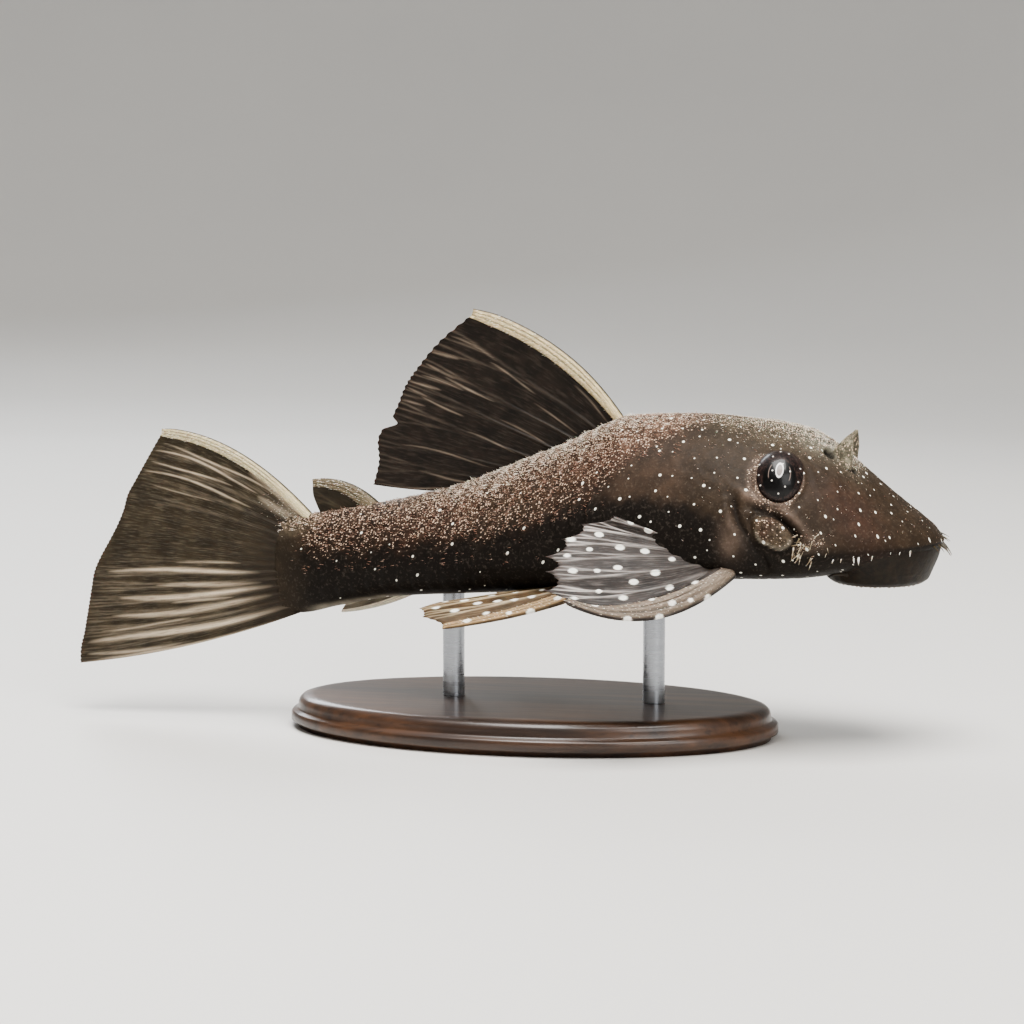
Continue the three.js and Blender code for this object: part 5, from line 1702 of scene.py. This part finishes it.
# %% Finish of the thorns
def thorn_finish(name, colour, bright):
    recipe = Recipe(name)
    tone = recipe.noise(recipe.place(), 1700.0, 4.0, 0.6)
    # Glow sets how many thorns take the bright colour; on the skin it carries painted light.
    low_tone = recipe.less(0.64, recipe.times(recipe.value("Glow"), 0.32))
    high_tone = recipe.plus(low_tone, 0.16)
    tint = recipe.mix(recipe.ramp(tone, low_tone, high_tone), colour, bright)
    return recipe.finish(
        Base_Color=tint, Roughness=0.35, Coat_Weight=0.4, Coat_Roughness=0.15,
        Subsurface_Weight=0.1, Subsurface_Scale=0.0003,
    )


pale_thorn = thorn_finish("pale_thorns", rgb(146, 110, 92), rgb(250, 240, 224))
print("thorn finish made")

# %% Thorns of the flanks
edge_thorns = ease(plate_share, 0.02, 0.12) * (1 - ease(plate_share, 0.35, 0.7))
flank_thorns = speckled**1.6 * (1 - in_head) * (0.5 + 0.5 * edge_thorns)
flank_thorns *= (1 - 0.5 * ease(down, 3.5, edge_level)) * (0.45 + 0.55 * top_light)
fringe = (1 - upper_flank) * (1 - ease(down, edge_level + 1.0, edge_level + 4.5)) * (1 - in_head)
keel_lines = np.exp(-(((row_place - np.round(row_place - 0.5) - 0.5) / 0.12) ** 2))
flank_thorns = flank_thorns + 0.5 * fringe * keel_lines * edge_thorns
flank_thorns = np.clip(flank_thorns, 0, 1) * (1 - belly) * stem_fade
thorn_sizes = 0.75 + 0.25 * np.sin(grid_x * 3.1 + down)
# Painted light on the flank's thorns: brightest on the top of the back.
flank_painted_light = top_light * (1 - 0.85 * ease(down, 2.0, 10.0))
for sign, which in ((1, "left"), (-1, "right")):
    patch = skin_patch("flank_patch", flank_thorns * (side == sign), lie_back, thorn_sizes, flank_painted_light)
    grow(
        "flank_thorns_" + which, patch, scatter_tree, pale_thorn, "skin",
        Spacing=0.00019, Density=2.6e7, Length=0.00056, Thickness=0.00006, Bend=0.35, Least_Size=0.4, Seed=11,
    )

# %% Thorns of the head
head_thorns = brow_ridge + 1.3 * top_gleam + 0.8 * tuft + 0.5 * gill_cover_edge
head_thorns = np.clip(head_thorns + 0.05 * in_head * (turn_size < 1.5), 0, 1)
rim_high = ease(eye_high * np.where(side > 0, upper_sign[1], upper_sign[-1]), -0.1, 0.5)
head_thorns = np.maximum(head_thorns, 0.9 * eye_near * (0.3 + 0.7 * rim_high) * (eye_reach > 1.05))
snout_top = ease(grid_x, 80, 86) * (turn_size < 1.3) * 0.12
head_thorns = np.maximum(head_thorns, snout_top) * (eye_reach > 1.03) * (1 - nostril_near)
# Painted light on the head's thorns: brightest on the brow and the top of the head.
head_painted_light = 0.55 + 0.45 * np.clip(top_gleam + brow_ridge, 0, 1)
patch = skin_patch("head_patch", head_thorns, lie_back, np.full(down.shape, 0.6), head_painted_light)
grow(
    "head_thorns", patch, scatter_tree, pale_thorn, "skin",
    Spacing=0.0002, Density=2.4e7, Length=0.00045, Thickness=0.000062, Bend=0.2, Least_Size=0.5, Seed=5,
)

# %% Thorns of the fins' spines
def values_of(mesh, name):
    values = np.zeros(len(mesh.vertices), np.float32)
    mesh.attributes[name].data.foreach_get("value", values)
    return values


def spine_thorns(fin, name, spacing, seed, least_spine=0.35, root_reach=0.0):
    fin_mesh = fin.data.copy()
    patch = bpy.data.objects.new(name + "_patch", fin_mesh)
    bpy.context.scene.collection.objects.link(patch)
    count = len(fin_mesh.vertices)
    out_share = values_of(fin_mesh, "Outward")
    fan_share = values_of(fin_mesh, "Fan")
    normals = np.zeros(count * 3, np.float32)
    fin_mesh.vertices.foreach_get("normal", normals)
    normals = normals.reshape(-1, 3)
    at_root = (1 - ease(out_share, 0.3 * root_reach, root_reach + 0.001)) * (1 - ease(fan_share, 0.08, 0.22))
    toward_tip = np.broadcast_to([-1.0, 0.0, 0.0], normals.shape)
    on_spine = values_of(fin_mesh, "Spine") > least_spine
    set_value(patch, "Thorns", np.maximum(on_spine, at_root * (root_reach > 0)))
    set_direction(patch, "Lie", unit(normals * 0.6 + toward_tip))
    set_direction(patch, "BendWay", toward_tip)
    set_value(patch, "ThornSize", 0.6 + 0.4 * out_share)
    set_value(patch, "Glow", np.full(count, 0.8))
    grow(
        name, patch, scatter_tree, pale_thorn, "fin",
        Spacing=spacing, Density=1.4e7, Length=0.00042, Thickness=0.00006,
        Bend=0.3, Least_Size=0.5, Seed=seed,
    )


spine_thorns(dorsal_fin, "dorsal_spine_thorns", 0.00032, 3)
spine_thorns(caudal_fin, "tail_spine_thorns", 0.00022, 4, root_reach=0.34)
spine_thorns(adipose_fin, "adipose_spine_thorns", 0.00022, 6, least_spine=0.02)
for number, fin in enumerate(paired_fins):
    spine_thorns(fin, fin.name.replace("_rays_", "_thorns_"), 0.00045, 20 + number)


# %% [markdown]
# The bristles that give the fish its name stand in one row along the snout's rim, and a fan of hooked
# spines shows below each gill cover. Both are rows of named roots and directions, so their tree grows
# one long cone on each point instead of scattering them.

# %% Bristles on the snout's rim
def on_map(x, turn):
    """The place of a point of the skin on its unwrap: along the back, and down either side."""
    ring = int(np.argmin(np.abs(ring_x - x)))
    drop = np.interp(abs(turn), half_turns, left_arc[ring])
    return np.array([along_back[ring], math.copysign(drop, turn) + MAP_MIDDLE, 0.0])


def row_patch(name, roots, ways, bend_ways, sizes, spots, glow=0.8):
    mesh = bpy.data.meshes.new(name)
    mesh.from_pydata(placed(roots).tolist(), [], [])
    patch = bpy.data.objects.new(name, mesh)
    bpy.context.scene.collection.objects.link(patch)
    set_direction(patch, "Lie", np.array(ways))
    set_direction(patch, "BendWay", np.array(bend_ways))
    set_value(patch, "ThornSize", sizes)
    set_value(patch, "Glow", np.full(len(sizes), glow))
    set_direction(patch, "Place", np.array(spots))
    return patch


draw = np.random.default_rng(7)
roots, ways, bends, sizes, spots = [], [], [], [], []
for height, lift, reach in ((21.0, 0.0, 1.0), (22.0, 0.35, 0.62)):
    for k in range(-9, 10):
        turn = k * 0.1 + 0.03 * draw.normal()
        out = unit(np.array([math.cos(turn), 1.5 * math.sin(turn), 0.0]))
        root_x = SNOUT_ROOT_X + (SNOUT_X - SNOUT_ROOT_X - 0.8 * lift) * math.cos(turn)
        on_rim = np.array([root_x, SNOUT_HALF_WIDTH * math.sin(turn), height + 0.2 * draw.normal()])
        droop = 0.35 + 0.9 * abs(math.sin(turn)) + 0.15 * draw.normal() - lift
        shorter = max(0.16, 1 - 0.95 * min(1, abs(turn) / 0.55))
        roots.append(on_rim - out * 0.6)
        spots.append(on_map(root_x, math.copysign(1.5, turn)))
        ways.append(unit(out + np.array([0, 0, -droop])))
        bends.append(np.array([0.0, 0.0, -1.0]))
        sizes.append(reach * (0.7 + 0.3 * draw.random()) * shorter)
bristle_finish = thorn_finish("bristles", rgb(66, 57, 36), rgb(116, 104, 72))
patch = row_patch("rim_patch", roots, ways, bends, sizes, spots, glow=0.35)
grow(
    "snout_bristles", patch, row_tree, bristle_finish, "skin",
    Length=0.0038, Thickness=0.0004, Bend=0.42, Least_Size=0.8, Seed=2,
)

# %% Hooked spines under the gill covers
white_bristle = thorn_finish("white_bristles", rgb(186, 170, 146), rgb(248, 244, 236))
tuft_finish = thorn_finish("cheek_tuft", rgb(132, 116, 92), rgb(226, 214, 192))
roots, ways, bends, sizes, spots = [], [], [], [], []
for sign in (1, -1):
    for k in range(110):
        share = draw.random()
        x = 73.6 - 3.0 * share + 0.7 * draw.normal()
        turn = sign * (1.45 + 0.15 * share + 0.1 * draw.normal())
        normal = skin_normal(x, turn)
        seat = skin_point(x, turn)
        roots.append(seat - normal * 0.2)
        spots.append(on_map(x, turn))
        ways.append(unit(np.array([-0.8, 0.0, -0.7]) + normal * 0.7 + 0.6 * draw.normal(size=3)))
        bends.append(unit(-normal + np.array([0, 0, -0.4])))
        sizes.append(0.3 + 0.7 * draw.random())
patch = row_patch("cheek_patch", roots, ways, bends, sizes, spots, glow=0.5)
grow(
    "cheek_spines", patch, row_tree, tuft_finish, "skin",
    Length=0.002, Thickness=0.0002, Bend=0.55, Least_Size=0.6, Seed=9,
)

# %% Short white bristles along the lower edge of the cheek
roots, ways, bends, sizes, spots = [], [], [], [], []
for sign in (1, -1):
    for k in range(12):
        x = 75.4 + 0.84 * k + 0.3 * draw.normal()
        turn = sign * (1.66 + 0.08 * draw.normal())
        normal = skin_normal(x, turn)
        roots.append(skin_point(x, turn) - normal * 0.3)
        spots.append(on_map(x, turn))
        ways.append(unit(normal * 0.4 + np.array([-0.1 + 0.1 * draw.normal(), 0, -1.0])))
        bends.append(-normal)
        sizes.append(0.6 + 0.4 * draw.random())
patch = row_patch("edge_patch", roots, ways, bends, sizes, spots)
grow(
    "cheek_edge_bristles", patch, row_tree, white_bristle, "skin",
    Length=0.0015, Thickness=0.0003, Bend=0.2, Least_Size=0.7, Seed=13,
)

# %% [markdown]
# Two rows of fine teeth stand in the mouth, each a left and a right comb, with which the fish rasps algae.
# Their tips are amber. They grow on rows of points like the bristles, in the gape of the lips.

# %% Teeth
roots, ways, bends, sizes, spots = [], [], [], [], []
for row_x, lean in ((82.2, -0.5), (80.4, 0.5)):
    for sign in (1, -1):
        for k in range(16):
            y = sign * (0.25 + 0.17 * k)
            roots.append(np.array([row_x - 0.05 * k * lean, y, 18.2]))
            ways.append(unit(np.array([lean, 0.0, -1.0])))
            bends.append(np.array([lean, 0.0, 0.0]))
            sizes.append(1 - 0.02 * k)
            spots.append(on_map(row_x, math.copysign(3.0, y)) + np.array([0, 0.1 * k, 0]))
tooth_finish = thorn_finish("amber_teeth", rgb(150, 84, 30), rgb(214, 180, 120))
patch = row_patch("teeth_patch", roots, ways, bends, sizes, spots)
grow(
    "jaw_teeth", patch, row_tree, tooth_finish, "lips",
    Length=0.0014, Thickness=0.00009, Bend=0.3, Least_Size=0.9, Seed=17,
)

# %% [markdown]
# The stand is a turned oval of dark wood with two polished steel rods. The base keeps the solid's size,
# with finer steps on its edge. Each rod reaches up into the belly, where a museum's mount would be fixed.

# %% Display base
BASE_HALF = (34.0, 19.0)
BASE_ROUND = 160
BASE_PROFILE = [  # how far in from the edge, and how high, from the floor to the top
    (1.0, 0.0), (1.0, 0.5), (0.0, 1.0), (0.0, 2.0), (0.25, 2.3), (0.85, 2.45), (1.0, 2.7), (1.0, 3.3),
    (1.15, 3.8), (1.6, 4.25), (2.3, 4.45), (3.2, 4.5),
]
base_points = []
turns = np.linspace(0, 2 * math.pi, BASE_ROUND, endpoint=False)
for inset, height in BASE_PROFILE:
    base_points.append(
        np.stack([
            BASE_X + (BASE_HALF[0] - inset) * np.cos(turns),
            (BASE_HALF[1] - inset) * np.sin(turns),
            np.full(BASE_ROUND, height - TAIL_CLEARANCE),
        ], -1)
    )
base_points = np.concatenate(base_points)
cell = np.arange(len(base_points)).reshape(-1, BASE_ROUND)
over = np.roll(cell, -1, axis=1)
base_quads = np.stack([cell[:-1], over[:-1], over[1:], cell[1:]], -1).reshape(-1, 4)
display_base = mesh_piece("display_base", base_points, base_quads)
faces_out(display_base)
for face in display_base.data.polygons:
    face.use_smooth = len(face.vertices) == 4
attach(display_base, "root")
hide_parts("stand_base")
print(f"display base: {triangles_of(display_base)} triangles")

# %% Rods
rods = []
for which, rod_x in (("rear", 22.0), ("front", 50.0)):
    top = float(underside(rod_x)) + 0.8
    heights = np.array([4.3 - TAIL_CLEARANCE, 4.6 - TAIL_CLEARANCE, top - 0.6, top])
    radius = np.array([1.5, 1.5, 1.5, 1.45])
    line = np.stack([np.full(4, rod_x), np.zeros(4), heights], 1)
    rod = tube("rod_" + which, line, radius, radius, (1, 0, 0), around=48)
    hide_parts("stand_rod_" + which)
    rods.append(rod)
print("rods:", [triangles_of(rod) for rod in rods], "triangles")


# %% Finishes of the stand
def wood_finish():
    recipe = Recipe("stained_wood")
    grain_place = recipe.place(stretch=(18, 190, 190))
    grain = recipe.noise(grain_place, 1.6, 8.0, 0.62)
    pores = recipe.noise(recipe.place(stretch=(120, 1400, 1400)), 1.0, 3.0, 0.5)
    colour = recipe.mix(recipe.ramp(grain, 0.32, 0.7), rgb(40, 26, 18), rgb(84, 56, 36))
    colour = recipe.mix(recipe.ramp(pores, 0.58, 0.72, 0.0, 0.5), colour, rgb(20, 13, 10))
    return recipe.finish(
        Base_Color=colour, Roughness=0.42, Normal=recipe.bump(pores, 0.25, 0.0001),
        Coat_Weight=0.5, Coat_Roughness=0.18,
    )


def steel_finish():
    recipe = Recipe("satin_steel")
    brushing = recipe.noise(recipe.place(stretch=(90, 90, 1100)), 1.0, 3.0, 0.5)
    colour = recipe.mix(recipe.ramp(brushing, 0.3, 0.7), rgb(150, 153, 158), rgb(168, 171, 176))
    roughness = recipe.ramp(brushing, 0.3, 0.7, 0.22, 0.32)
    return recipe.finish(Base_Color=colour, Roughness=roughness, Metallic=1.0)


display_base.data.materials.append(wood_finish())
steel = steel_finish()
for rod in rods:
    rod.data.materials.append(steel)
print("stand finished")

# %% [markdown]
# Last, the sizes: the boxes of the solids and of the scene are gathered and printed.

# %% Sizes, and the end
low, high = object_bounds()
sizes = {"cad": [list(cad_low), list(cad_high)], "scene": [list(low), list(high)]}
print("solids' box:", [round(v / MM, 2) for v in (*cad_low, *cad_high)])
print("scene's box:", [round(v / MM, 2) for v in (*low, *high)])
